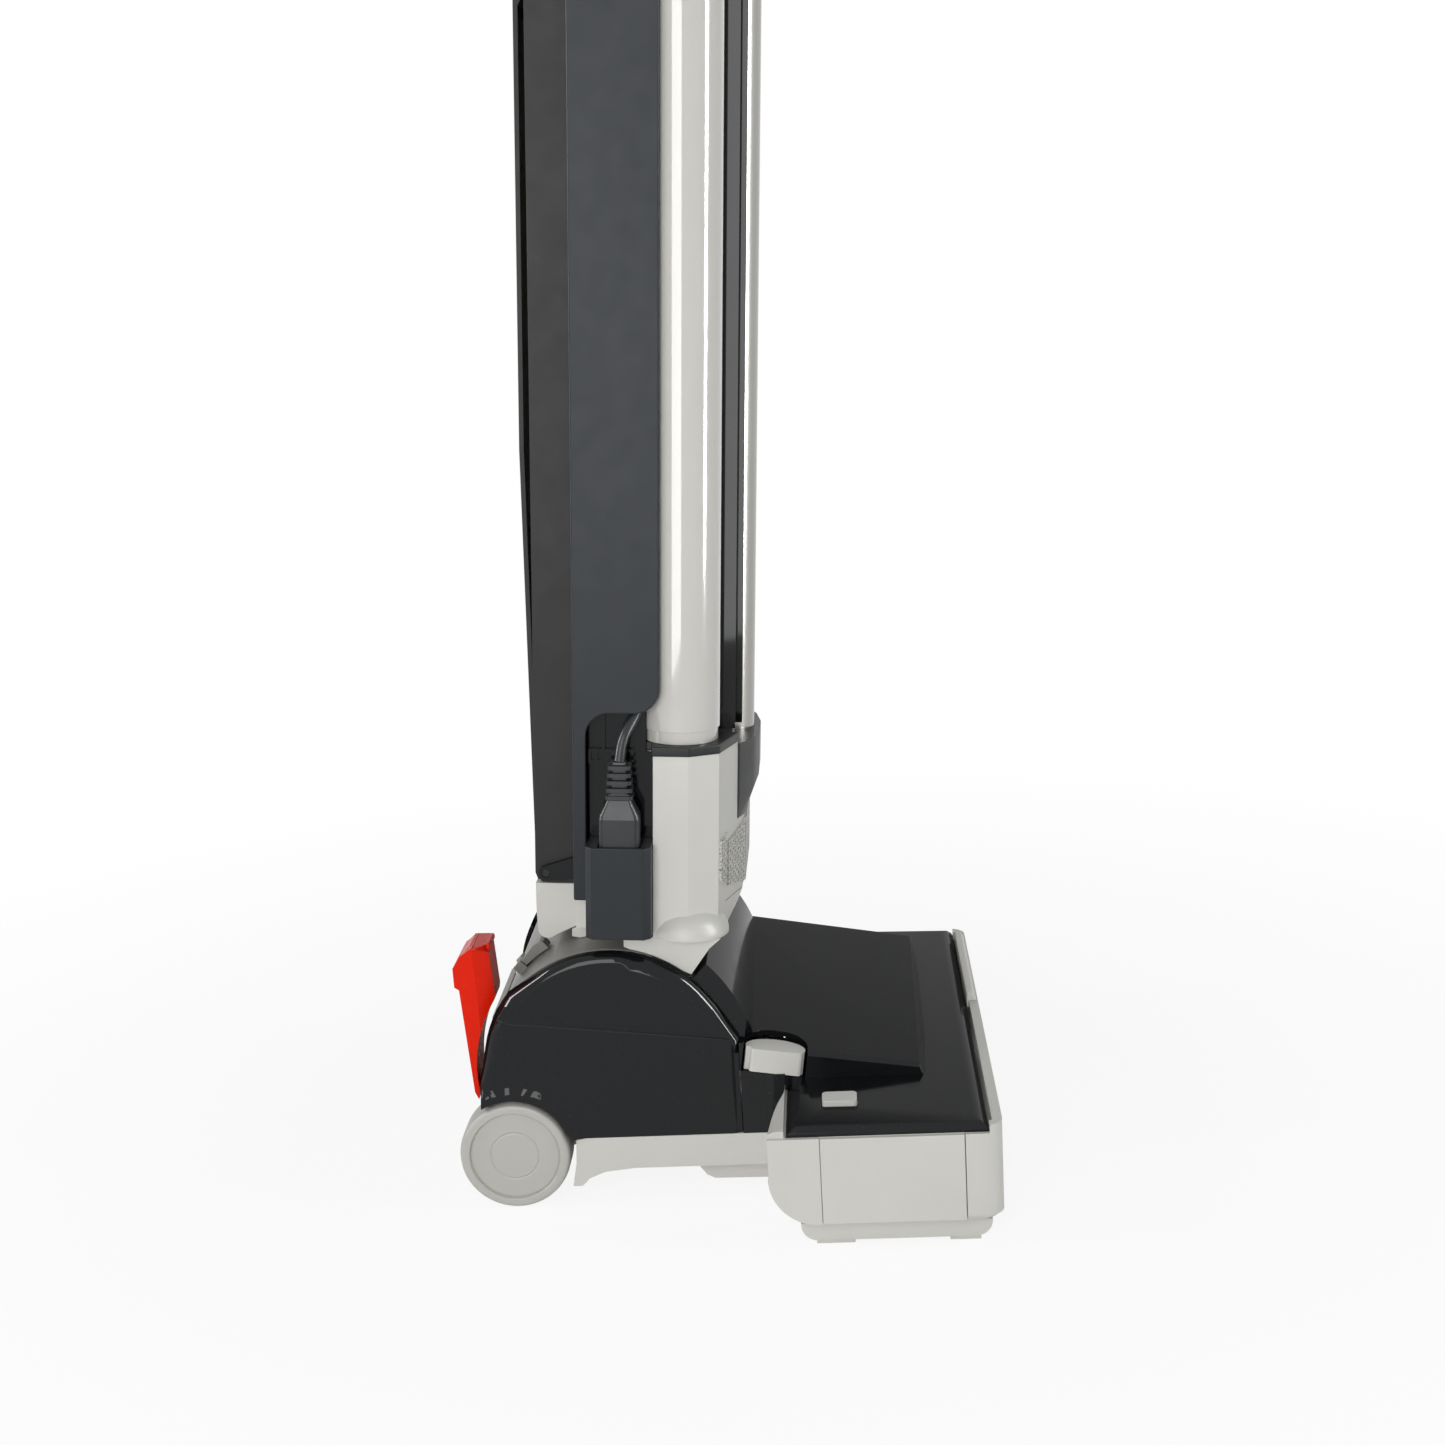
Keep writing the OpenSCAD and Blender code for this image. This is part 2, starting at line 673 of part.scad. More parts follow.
// Light grey saddle that joins the column to the drum.
module column_foot() {
    color(light_gray) column() difference() {
        union() {
            slab_x(-66, 66) polygon([
                [-62, 84], [-60, 78], [-49, 62], [27, 75], [27, 79.6], [19.6, 83.2], [13.9, 85.9],
                [13.9, 92.9], [-26, 92.9]
            ]);
            // wide skirt over the front of the drum
            slab_x(-93, 93) polygon([[-68, 84.6], [-61, 78], [-50, 61], [-8, 78], [-8, 84.6]]);
        }
        rod_x(-100, 100, foot_r);
        box([-30, -30, 60], [30, 12, 100]);
    }
}
// Plan outline of the faceted housing, from the column's middle line.
function housing_half(t) = [
    [-79.8 + t, -14.2], [-79.8 + t, -26.3 - t], [-95 + t, -26.3 - t], [-95 + t, -48 + t / 3],
    [-85 + t, -66 + t / 2], [-40, -80 + t]
];
module housing_plan(t) {
    near_half = housing_half(t);
    polygon(concat(near_half, [for (i = [5:-1:0]) [-near_half[i].x, near_half[i].y]]));
}
// Shape that rounds the housing's lower front.
module housing_side_profile() {
    polygon([
        [-14, 85], [-64, 85], [-71, 87.5], [-77, 96], [-82, 108], [-82, 220], [-14, 220]
    ]);
}
module filter_housing() {
    color(light_gray) column() difference() {
        union() {
            intersection() {
                translate([0, 0, 80]) linear_extrude(plate_z - 80) housing_plan(0);
                slab_x(-100, 100) housing_side_profile();
            }
            // rounded haunches over the domes
            both_sides() intersection() {
                translate([-78, -47, 86]) scale([25, 25.5, 18]) sphere(1);
                box([-110, -90, 85], [-67, -26.6, 110]);
            }
        }
        // seat over the column's foot
        box([-66.3, -62.6, 80], [66.3, -10, 93.1]);
        translate([0, 0, 97]) linear_extrude(plate_z) difference() {
            housing_plan(wall);
            translate([-100, -200]) square([200, 128]);
        }
        // window behind the exhaust grille
        vent_block(0);
        // seat of the wand holder
        box([-holder_x - 0.3, -90, 150], [holder_x + 0.3, -73, plate_z + 1]);
        box([-21.3, -90, 154.7], [21.3, -70, plate_z + 1]);
    }
}
// Body of the grille, which follows the three front facets; t is its clearance.
module vent_block(t) {
    intersection() {
        translate([0, 0, 90]) linear_extrude(100) difference() {
            housing_plan(0);
            housing_plan(5 - t);
        }
        translate([0, -50, 0]) rotate([90, 0, 0]) linear_extrude(50) polygon([
            [-72 + t, 102 + t], [72 - t, 102 + t], [72 - t, 142 - t], [38, 149.7 - t],
            [-38, 149.7 - t], [-72 + t, 142 - t]
        ]);
        slab_x(-100, 100) housing_side_profile();
    }
}
module vent_grille() {
    slot = 3;
    pitch = 7;
    color(light_gray) column() difference() {
        vent_block(gap);
        for (x = [-65:pitch:65]) translate([x - slot / 2, -100, 107]) cube([slot, 60, 31]);
    }
}
module exhaust_filter() {
    color([0.9, 0.9, 0.88]) column() box([-60, -68, 103], [60, -60, 142]);
}
module gasket_plate() {
    color(rubber) column() difference() {
        translate([0, 0, plate_z + 0.1]) linear_extrude(6) difference() {
            housing_plan(-1);
            for (x = [-tube_x0, tube_x0]) translate([x, tube_y]) circle(15);
            translate([0, wand_y]) circle(wand_r + 0.5);
            translate([-holder_x - 0.3, -100]) square([2 * holder_x + 0.6, 27]);
        }
    }
}
module spine() {
    color(dark_shell) column() {
        // wide rear body: an open box whose back is the bag door
        difference() {
            box([-80, -14, 93], [80, 22, body_top]);
            box([-80 + wall, -14 + wall, 96], [80 - wall, 19, body_top - wall]);
            box([-door_x + 4, 18, door_z + 4], [door_x - 4, 23, body_top - 6]);
            box([-26, -13, 92], [26, 6, 97]);
            // inlet of the bag
            translate([0, 0, 560]) rotate([90, 0, 0]) cylinder(h = 40, r = 16);
        }
        // front duct, with a groove for the wand
        difference() {
            box([-43, -74, plate_z + 6.2], [43, -14 + eps, body_top]);
            box([-43 + wall, -44, plate_z + 5], [43 - wall, -14 - eps, body_top - wall]);
            translate([0, wand_y, 0]) cylinder(h = 900, r = wand_r + 0.5);
            box([-wand_r - 0.5, -80, 0], [wand_r + 0.5, wand_y, 900]);
        }
        // lips that stand either side of the wand
        both_sides() box([-27, -77.8, plate_z + 6.2], [-19.2, -74 + eps, body_top]);
        // niche behind the connector: a wall with a slotted rail and a rib
        box([-niche_x, -25.9, 146.2], [-niche_x + 2, -14, plate_z - 0.2]);
        box([-niche_x, -21.2, plate_z - 1], [-niche_x + 2, -14, cover_foot - 0.2]);
        box([-niche_x, -14 - eps, 146.2], [-80 + eps, 14.2, cover_foot - 0.2]);
        difference() {
            box([-niche_x - 3, -14, 193], [-niche_x + eps, 14, 202]);
            for (y = [-12, -8, 6, 10]) box([-niche_x - 4, y, 195], [-niche_x - 1, y + 2, 200]);
        }
        box([-niche_x - 2.5, 3.4, 202 - eps], [-niche_x + eps, 5.4, cover_foot - 0.2]);
        // ears of the bag door's hinge
        both_sides() difference() {
            hull() {
                box([-ear_x[1], 21, door_pin[1] - 3], [-ear_x[0], 22, door_pin[1] + 12]);
                rod_x(-ear_x[1], -ear_x[0], 4.6, door_pin[0], door_pin[1]);
            }
            rod_x(-ear_x[1] - 1, -ear_x[0] + 1, door_pin_r + run_fit, door_pin[0], door_pin[1]);
        }
    }
}
// Side cover; the near one stops above the niche of the connector.
module side_cover(outline) {
    slab_x(-cover_x, -cover_x + wall) polygon(outline);
    box([-cover_x + wall - eps, seam_y - wall, 108], [-80.2, seam_y, body_top]);
}
cover_head = concat([[seam_y, 108], [seam_y, body_top], [-30, body_top]],
    arc([-15, cover_foot + 15], 15, 180, 270));
module side_cover_near() {
    color(slate) column()
        side_cover(concat(cover_head, arc([0, cover_foot - 14.4], 14.4, 90, 0), [[14.4, 108]]));
}
module side_cover_far() {
    color(slate) column() mirror([1, 0, 0]) side_cover(concat(cover_head, [[-12, cover_foot], [-12, 108]]));
}
// Bag door, hinged at its foot by two pins in the spine's ears.
door_pin = [43, 116.5];
door_pin_r = 2.5;
ear_x = [door_x + gap, door_x + 4];
module door_profile(t) {
    polygon([
        [seam_y + 0.3 - (t > 0 ? 5 : 0), door_z + 1 + t], [seam_y + 1.5, door_z + t],
        [44 - t, door_z + t], [48.5 - t, door_z + 2 + t],
        [50 - t, door_z + 6 + t], [57 - t, 380],
        [57 - t, body_top - 12 - t], [50 - t, body_top - t], [seam_y + 0.3 - (t > 0 ? 5 : 0), body_top - t]
    ]);
}
module bag_door() {
    color(dark_shell) column() difference() {
        union() {
            slab_x(-door_x + 5, door_x - 5) door_profile(0);
            slab_x(-door_x, door_x) intersection() {
                door_profile(0);
                translate([0, 0]) square([50, 900]);
            }
        }
        slab_x(-door_x + wall, door_x - wall) door_profile(wall);
        // seat of the latch
        box([-18.3, 53, 600], [18.3, 60, 640]);
    }
    color(dark_shell) column() both_sides()
        rod_x(-ear_x[1] + 0.5, -door_x + wall, door_pin_r, door_pin[0], door_pin[1]);
}
module door_latch() {
    color(light_gray) column() difference() {
        box([-18, 54.2, 604], [18, 59.5, 636]);
        box([-14, 58, 612], [14, 60, 630]);
    }
}
module dust_bag() {
    color([0.86, 0.84, 0.78]) column() difference() {
        hull() {
            slab_x(-50, 50) round_rect([-10, 144], [44, 600], 12, $fn = 24);
            slab_x(-58, 58) round_rect([0, 160], [38, 580], 12, $fn = 24);
        }
        translate([0, 14, 560]) rotate([90, 0, 0]) cylinder(h = 40, r = 14);
    }
}
// Light grey cap that closes the column's foot under the bag door.
module rear_cap() {
    color(light_gray) column() {
        difference() {
            slab_x(-door_x, door_x) polygon(concat([[14.4, 86], [20, 83.6], [28, 79.8], [36, 75.8]],
                arc([42.6, 79], 6.2, 250, 350), [[49.6, 92], [49.8, 109.2], [seam_y + 0.3, 109.2],
                [seam_y + 0.3, 92.6], [14.4, 92.6]]));
            slab_x(-door_x + wall, door_x - wall) polygon([
                [26, 90], [36, 80.5], [42, 78], [45.5, 83], [46.5, 110], [26, 110]
            ]);
        }
        // cheeks over the foot of the spine
        both_sides() {
            box([-82, 14.4, 86], [-80.1, seam_y, 107.8]);
            box([-82, 14.4, 86], [-door_x + eps, seam_y, 92.6]);
        }
    }
}
module suction_tube() {
    color(light_gray) column() translate([-tube_x0, tube_y, 0]) difference() {
        union() {
            translate([0, 0, plate_z + 6.2]) cylinder(h = 9, r = tube_r - 1);
            translate([0, 0, plate_z + 14]) cylinder(h = 690 - plate_z - 14, r = tube_r);
        }
        cylinder(h = 900, r = tube_r - 3);
    }
}
wand_z0 = 168;
wand_z1 = 700;
module wand() {
    color(steel) column() translate([0, wand_y, 0]) difference() {
        translate([0, 0, wand_z0]) cylinder(h = wand_z1 - wand_z0, r = wand_r);
        translate([0, 0, wand_z0 - 1]) cylinder(h = 900, r = wand_r - 1.2);
    }
}
// Black cup that the wand stands in, pointed at its foot.
holder_x = 52;
holder_top = 198.6;
module wand_holder() {
    color(rubber) column() difference() {
        union() {
            hull() {
                translate([0, 0, 166]) linear_extrude(holder_top - 166) polygon([
                    [-holder_x, -73.3], [-holder_x, -77.4], [-34, -85.4], [34, -85.4], [holder_x, -77.4],
                    [holder_x, -73.3]]);
                translate([0, 0, 171]) linear_extrude(holder_top - 173)
                    polygon([[-20, -88.6], [20, -88.6], [holder_x, -73.3], [-holder_x, -73.3]]);
                translate([0, 0, 150.4]) linear_extrude(1) polygon([
                    [-holder_x, -73.3], [-holder_x, -76.6], [-42, -80], [42, -80], [holder_x, -76.6],
                    [holder_x, -73.3]]);
            }
            box([-21, -73.4, 155], [21, -46, plate_z]);
        }
        wand_seat();
    }
}
module wand_seat() {
    translate([0, wand_y, wand_z0 - 0.2]) cylinder(h = 60, r = wand_r + run_fit);
}

// ---- Swept tubes --------------------------------------------------------------------

function unit(v) = v / norm(v);
function tangent(p, i) = unit(p[min(i + 1, len(p) - 1)] - p[max(i - 1, 0)]);
// Ring of n points of radius r about p, square to t.
function ring(p, t, ref, r, n) = let (u = unit(cross(t, ref)), v = cross(t, u))
    [for (k = [0:n - 1]) p + r * (cos(360 * k / n) * u + sin(360 * k / n) * v)];
// Closed solid through rings of equal counts of points.
module loft(rings) {
    m = len(rings);
    n = len(rings[0]);
    sides = [for (i = [0:m - 2], k = [0:n - 1]) let (
        a = i * n + k, b = i * n + (k + 1) % n, c = a + n, d = b + n) each [[a, c, b], [b, c, d]]];
    ends = [for (k = [1:n - 2]) each [
        [0, k, k + 1], [(m - 1) * n, (m - 1) * n + k + 1, (m - 1) * n + k]]];
    polyhedron([for (r = rings) each r], concat(sides, ends));
}
// Closed tube along p, whose radius at each point is r[i].
module sweep(p, r, n, ref) {
    loft([for (i = [0:len(p) - 1]) ring(p[i], tangent(p, i), ref, r[i], n)]);
}
function same(r, n) = [for (i = [1:n]) r];
function route_length(p, i = 0, s = 0) =
    i >= len(p) - 1 ? s : route_length(p, i + 1, s + norm(p[i + 1] - p[i]));

// Hose: up the far side, over the top and down into the suction tube.
hose_top = 715;         // where the hose starts to turn over
hose_foot = plate_z + 26;
hose_back = 22;         // how far the turn leans back
hose_pitch = 8;
hose_run = hose_top - hose_foot;
hose_arc = PI * tube_x0;
hose_length = hose_run + hose_arc;
function hose_at(s) = s < hose_run
    ? [tube_x0, tube_y, hose_foot + s]
    : let (a = min(180, 180 * (s - hose_run) / hose_arc))
        [tube_x0 * cos(a), tube_y + hose_back * sin(a) * sin(a), hose_top + tube_x0 * sin(a)];
module hose() {
    ribs = floor(hose_length / hose_pitch);
    steps = floor(ribs / 3);
    outer = [for (i = [0:2 * ribs]) hose_at(i * hose_length / ribs / 2)];
    inner = [for (i = [0:steps]) hose_at(i * hose_length / steps)];
    past_end = [0, 0, 5];
    bore = concat([inner[0] - past_end], inner, [inner[steps] - past_end]);
    color(rubber) column() difference() {
        sweep(outer, [for (i = [0:2 * ribs]) i % 2 == 0 ? hose_r : hose_r - 2], 8, [0, 1, 0]);
        sweep(bore, same(hose_r - 4, len(bore)), 8, [0, 1, 0]);
    }
}
module hose_cuffs() {
    color(slate) column() {
        translate([tube_x0, tube_y, 0]) difference() {
            union() {
                translate([0, 0, plate_z + 6.2]) cylinder(h = 8, r = tube_r);
                translate([0, 0, plate_z + 6.2]) cylinder(h = hose_foot - plate_z - 6.2, r = hose_r + 2);
            }
            cylinder(h = 400, r = hose_r - 4);
        }
        translate([-tube_x0, tube_y, 0]) difference() {
            union() {
                translate([0, 0, 690.2]) cylinder(h = 8, r = tube_r);
                translate([0, 0, 690.2]) cylinder(h = hose_top - 690.2, r = hose_r + 2);
            }
            translate([0, 0, 600]) cylinder(h = 400, r = hose_r - 4);
        }
    }
}

// ---- Mains inlet, cord and plug -------------------------------------------------------

plug_x = -99;           // middle of the connector
plug_y = -6.5;
socket_top = 146;
socket_bottom = 88;
module socket_box() {
    color(slate) column() difference() {
        translate([0, 0, socket_bottom]) linear_extrude(socket_top - socket_bottom) polygon([
            [-80.2, -26], [-106, -26], [-box_x, -22], [-box_x, 10], [-106, 14], [-80.2, 14]
        ]);
        // recess that takes the connector
        box([plug_x - 8.5, plug_y - 13, 126], [plug_x + 8.5, plug_y + 13, 150]);
        for (y = [-7, 0, 7]) box([plug_x - 1, plug_y + y - 2, 118], [plug_x + 1, plug_y + y + 2, 127]);
    }
}
module inlet_pins() {
    color(steel) column() for (y = [-7, 0, 7])
        box([plug_x - 1, plug_y + y - 2, 118], [plug_x + 1, plug_y + y + 2, 138]);
}
relief_top = 198;
module cord_connector() {
    color(rubber) column() translate([plug_x, plug_y, 0]) difference() {
        union() {
            hull() {
                translate([0, 0, 126.3]) linear_extrude(38) square([16, 25], center = true);
                translate([0, 0, 174]) linear_extrude(1) square([13, 17], center = true);
            }
            translate([0, 0, 174]) cylinder(h = relief_top - 174, r = 5.4);
            for (i = [0:4]) translate([0, 0, 175.6 + 4.6 * i])
                linear_extrude(2.6) square([14 - 0.6 * i, 17 - 0.7 * i], center = true);
        }
        for (y = [-7, 0, 7]) translate([-1.2, y - 2.2, 126]) cube([2.4, 4.4, 12.4]);
    }
}

// Route of the free cord from the connector to the hank, chosen by hand.
CORD_ROUTE = [
    [-99, -6.5, 198], [-98.5, -7, 204], [-97, -8, 209.5], [-95, -10, 214.5], [-91.8, -12.5, 219],
    [-88.8, -15, 223.4], [-86.8, -17, 228.5], [-85.3, -18, 234], [-84.6, -18.5, 240],
    [-84.5, -18, 250], [-84.6, -16.5, 262], [-85, -13, 278], [-85.6, -7.5, 296], [-86, -2, 314],
    [-86, 1, 330], [-86, 2, 350], [-86, 2, 380], [-86, 2, 410], [-86, 2, 440], [-86, 2, 470],
    [-86, 2, 500], [-86, 2, 530], [-86, 2, 560], [-86, 2, 590], [-86, 3, 614], [-86, 6, 636],
    [-85.5, 11, 656], [-84, 18, 676], [-81, 26.5, 696], [-77, 35, 716], [-71.5, 43, 736],
    [-66, 49, 756], [-61.5, 52.5, 774], [-58.8, 54, 790], [-58.3, 54, 800]
];
module cord_stretch() {
    color(rubber) column() sweep(CORD_ROUTE, same(cord_d / 2, len(CORD_ROUTE)), 8, [0.3, 1, 0]);
}

// Hank: loops round two hooks, wound in and out in four layers.
hook_low = 722;
hook_high = 940;
hook_r = 20;
hank_y = 54;            // middle of the layer nearest the handle
hank_layers = 4;
hank_in = hook_r + 0.4 + cord_d / 2;
layer_loops = hank_loops / hank_layers;
// Steps of one loop: 9 on each bend and 3 between, 24 in all.
function loop_point(k, rho) =
    k <= 8 ? [-rho * cos(22.5 * k), hook_high + rho * sin(22.5 * k)] :
    k < 12 ? [rho, hook_high + (hook_low - hook_high) * (k - 8) / 4] :
    k <= 20 ? [rho * cos(22.5 * (k - 12)), hook_low - rho * sin(22.5 * (k - 12))] :
    [-rho, hook_low + (hook_high - hook_low) * (k - 20) / 4];
// Winding in loops from the outside in, then out again, layer by layer.
function wound(u) = let (m = u % (2 * layer_loops)) abs(layer_loops - m);
function layer_at(k, loop) = let (layer = floor(loop / layer_loops),
    last = (loop + 1) % layer_loops == 0 && layer < hank_layers - 1)
    layer + (last && k > 20 ? (k - 20) / 4 : 0);
function hank_point(i) = let (loop = floor(i / 24), k = i % 24, rho = hank_in + hank_step * wound(i / 24),
    q = loop_point(k, rho)) [q.x, hank_y + hank_layer * layer_at(k, loop), q.y];
hank_last_y = hank_y + hank_layer * (hank_layers - 1);
hank_first = hank_point(0);
HANK = concat(
    [[hank_first.x, hank_first.y, 800], [hank_first.x, hank_first.y, 810]],
    [for (i = [0:24 * hank_loops - 1]) hank_point(i)],
    [for (k = [0:8]) let (q = loop_point(k, hank_in + hank_step * (layer_loops + k / 24)))
        [q.x, hank_last_y, q.y]],
    [for (q = [[64, 905], [72, 881], [77, 857], [78, 839], [78, 827]]) [q.x, hank_last_y, q.y]]);
// Least distance between stretches of the hank that aren't neighbours along it.
function hank_gap(p, hop) = min([for (i = [0:len(p) - 1 - hop], j = [i + hop:len(p) - 1])
    norm(p[i] - p[j])]) - cord_d;
module cord_hank() {
    color(rubber) column() sweep(HANK, same(cord_d / 2, len(HANK)), 6, [0, 1, 0]);
}
PLUG_AT = HANK[len(HANK) - 1];
module mains_plug() {
    color(rubber) column() translate(PLUG_AT) mirror([0, 0, 1]) {
        cylinder(h = 16, r = 5.2);
        translate([0, 0, 16 - eps]) cylinder(h = 24, r = 15);
        for (x = [-7, 7]) translate([x, 0, 39]) cylinder(h = 17, r = 2.2);
    }
}

// ---- Top of the column ----------------------------------------------------------------

tube_yh = 28;           // middle of the handle tube
handle_r = 14;
module top_housing() {
    color(slate) column() difference() {
        union() {
            box([-43, -70, body_top + 0.2], [43, 22, 686]);
            box([-80, -60, body_top + 0.2], [80, 0, 668]);
            box([-door_x, 0, body_top + 0.3], [door_x, 50, 672]);
            translate([0, tube_yh, 660]) cylinder(h = 40, r = 20);
        }
        both_sides() translate([-tube_x0, tube_y, 600]) cylinder(h = 100, r = tube_r + 0.2);
        translate([0, wand_y, 600]) cylinder(h = 100, r = wand_r + 0.3);
        box([-wand_r - 0.3, -80, 600], [wand_r + 0.3, wand_y, 700]);
        translate([0, tube_yh, 664]) cylinder(h = 60, r = handle_r);
    }
}
module handle_tube() {
    color(slate) column() translate([0, tube_yh, 664]) difference() {
        cylinder(h = 346, r = handle_r);
        translate([0, 0, -1]) cylinder(h = 360, r = handle_r - 1.5);
        // pivot of the upper hook
        translate([0, 0, hook_high - 664]) rotate([-90, 0, 0]) cylinder(h = 30, r = 4 + run_fit);
    }
}
grip_z = 1004;
module grip_profile(t) {
    hull() {
        translate([tube_yh, grip_z + 24]) circle(24 - t, $fn = 32);
        translate([tube_yh + 8, handle_top - 34]) circle(34 - t, $fn = 32);
    }
}
module handle_grip() {
    color(slate) column() difference() {
        slab_x(-16, 16) difference() {
            grip_profile(0);
            hull() {
                translate([tube_yh + 2, grip_z + 46]) circle(11, $fn = 32);
                translate([tube_yh + 8, handle_top - 32]) circle(17, $fn = 32);
            }
        }
        // socket of the handle tube
        translate([0, tube_yh, grip_z - 5]) cylinder(h = 11, r = handle_r);
        // well of the switch
        box([-5.4, tube_yh - 30, switch_z - 11], [5.4, tube_yh - 14, switch_z + 11]);
        rod_x(-rocker_pin - 0.2, rocker_pin + 0.2, 1.5 + run_fit, tube_yh - 21, switch_z);
    }
}
// Place of the rocker, on the front of the grip's foot.
switch_z = grip_z + 26;
rocker_pin = 7;         // reach of the rocker's pin to each side
module power_switch() {
    color(red) column() {
        slab_x(-5, 5) translate([tube_yh - 24, switch_z]) polygon([
            [-2.6, 9.5], [-0.6, 0], [-2.6, -9.5], [5, -9.5], [5, 9.5]
        ]);
        rod_x(-rocker_pin, rocker_pin, 1.5, tube_yh - 21, switch_z);
    }
}

// Spools that the cord is wound on: the lower one is clamped, the upper one turns.
spool_y = tube_yh + handle_r + 0.4;
module spool(z, up) {
    translate([0, 0, z]) {
        translate([0, spool_y, 0]) rotate([-90, 0, 0]) cylinder(h = hank_y + 34 - spool_y, r = hook_r);
        translate([0, hank_y + 34, up * 18]) cube([24, 5, 70], center = true);
    }
}
module hook_lower() {
    color(slate) column() {
        spool(hook_low, -1);
        difference() {
            union() {
                translate([0, tube_yh, hook_low - 12]) cylinder(h = 24, r = handle_r + 4);
                translate([-8, tube_yh, hook_low - 8]) cube([16, 17, 16]);
            }
            translate([0, tube_yh, hook_low - 40]) cylinder(h = 80, r = handle_r);
        }
    }
}
module hook_upper() {
    color(slate) column() {
        spool(hook_high, 1);
        translate([0, tube_yh + 4, hook_high]) rotate([-90, 0, 0]) cylinder(h = 14, r = 4);
    }
}

echo(cord_length_m = (route_length(CORD_ROUTE) + route_length(HANK)) / 1000,
    hank_self_gap_mm = hank_gap(HANK, 12), hose_m = hose_length / 1000);

base_pan();
front_bumper();
front_insert();
sole_plate();
sole_feet();
hood();
dome_near();
dome_far();
end_panel_near();
end_panel_far();
brush_core();
brush_bristles();
brush_bearings();
brush_pulley();
drive_belt();
pivot_brackets();
motor();
motor_shaft();
motor_pulley();
fan();
rear_axle();
wheel_near();
wheel_far();
recline_pedal();
pedal_pin();
pedal_spring();
lock_lever();
height_knob();
release_button();
head_screws();
pivot_drum();
column_foot();
filter_housing();
vent_grille();
exhaust_filter();
gasket_plate();
spine();
side_cover_near();
side_cover_far();
bag_door();
door_latch();
dust_bag();
rear_cap();
suction_tube();
wand();
wand_holder();
hose();
hose_cuffs();
socket_box();
inlet_pins();
cord_connector();
cord_stretch();
cord_hank();
mains_plug();
top_housing();
handle_tube();
handle_grip();
power_switch();
hook_lower();
hook_upper();
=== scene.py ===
# %% [markdown]
# # An upright vacuum cleaner, dressed
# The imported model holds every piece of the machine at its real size. This lesson
# gives those pieces their looks: rounded edges, moulded skins, a cord wound on its
# hooks and a finish for every surface. Nothing is moved, so the new pieces are
# worked out in the same frame: metres, -Y to the front, +Z up, -X the socket side.

# %% Load the frame
import json
import math

import bmesh
import bpy
from mathutils import Matrix, Vector

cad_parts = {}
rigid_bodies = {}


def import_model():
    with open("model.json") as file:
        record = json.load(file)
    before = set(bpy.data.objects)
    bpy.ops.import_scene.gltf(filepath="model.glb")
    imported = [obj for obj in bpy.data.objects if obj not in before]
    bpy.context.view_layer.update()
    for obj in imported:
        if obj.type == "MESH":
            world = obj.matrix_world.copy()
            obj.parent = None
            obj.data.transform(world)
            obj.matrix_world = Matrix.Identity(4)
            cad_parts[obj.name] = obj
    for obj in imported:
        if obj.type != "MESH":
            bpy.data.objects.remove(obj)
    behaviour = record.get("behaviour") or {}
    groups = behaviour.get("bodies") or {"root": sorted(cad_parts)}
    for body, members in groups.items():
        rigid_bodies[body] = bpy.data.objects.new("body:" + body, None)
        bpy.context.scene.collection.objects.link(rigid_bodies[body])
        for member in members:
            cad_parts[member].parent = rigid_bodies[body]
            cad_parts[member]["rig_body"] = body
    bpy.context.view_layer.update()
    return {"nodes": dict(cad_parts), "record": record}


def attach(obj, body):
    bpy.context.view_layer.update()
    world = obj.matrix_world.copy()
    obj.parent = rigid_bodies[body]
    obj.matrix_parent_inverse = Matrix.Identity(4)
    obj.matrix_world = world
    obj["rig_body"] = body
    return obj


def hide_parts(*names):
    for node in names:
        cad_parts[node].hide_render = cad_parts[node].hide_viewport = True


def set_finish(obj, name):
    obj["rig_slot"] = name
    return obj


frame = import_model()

nodes = frame["nodes"]
SLOT_OF = {part["node"]: part["material_slot"] for part in frame["record"]["subparts"]}

# %% [markdown]
# The machine has two frames of its own. The head's runs back from its bumper, and
# the column's runs up from its pivot and leans forward a little. Sizes are written
# in millimetres, as on a drawing, and these helpers turn them into metres.

# %% Places
MM = 0.001
DEPTH = 335.3           # bumper to the back of the wheels
PIVOT_Y = 237
PIVOT_Z = 89
LEAN = math.radians(3.5)


def head(x, y, z):
    """A point of the head, measured back from the bumper."""
    return Vector((x, y - DEPTH / 2, z)) * MM


HEAD = Matrix.Translation(head(0, 0, 0)) @ Matrix.Scale(MM, 4)
COLUMN = (Matrix.Translation(head(0, PIVOT_Y, PIVOT_Z)) @ Matrix.Rotation(LEAN, 4, "X")
          @ Matrix.Scale(MM, 4))


def column(x, y, z):
    """A point of the column, measured up from its pivot."""
    return COLUMN @ Vector((x, y, z))


# %% [markdown]
# The camera stands low on the socket side and looks slightly down. Its place, its
# three turns and its lens decide how the machine fills a square frame.

# %% Camera
CAMERA_AT = Vector((-1.3454, -0.08225, 0.5954))
YAW = math.radians(3.2)
PITCH = math.radians(-13.0)
ROLL = math.radians(-3.2)
LENS = 53.33
SENSOR = 36

forward = Vector((math.cos(PITCH) * math.cos(YAW), math.cos(PITCH) * math.sin(YAW),
                  math.sin(PITCH)))
right = Vector((math.sin(YAW), -math.cos(YAW), 0))
up = right.cross(forward)
right_rolled = right * math.cos(ROLL) + up * math.sin(ROLL)
up_rolled = up * math.cos(ROLL) - right * math.sin(ROLL)

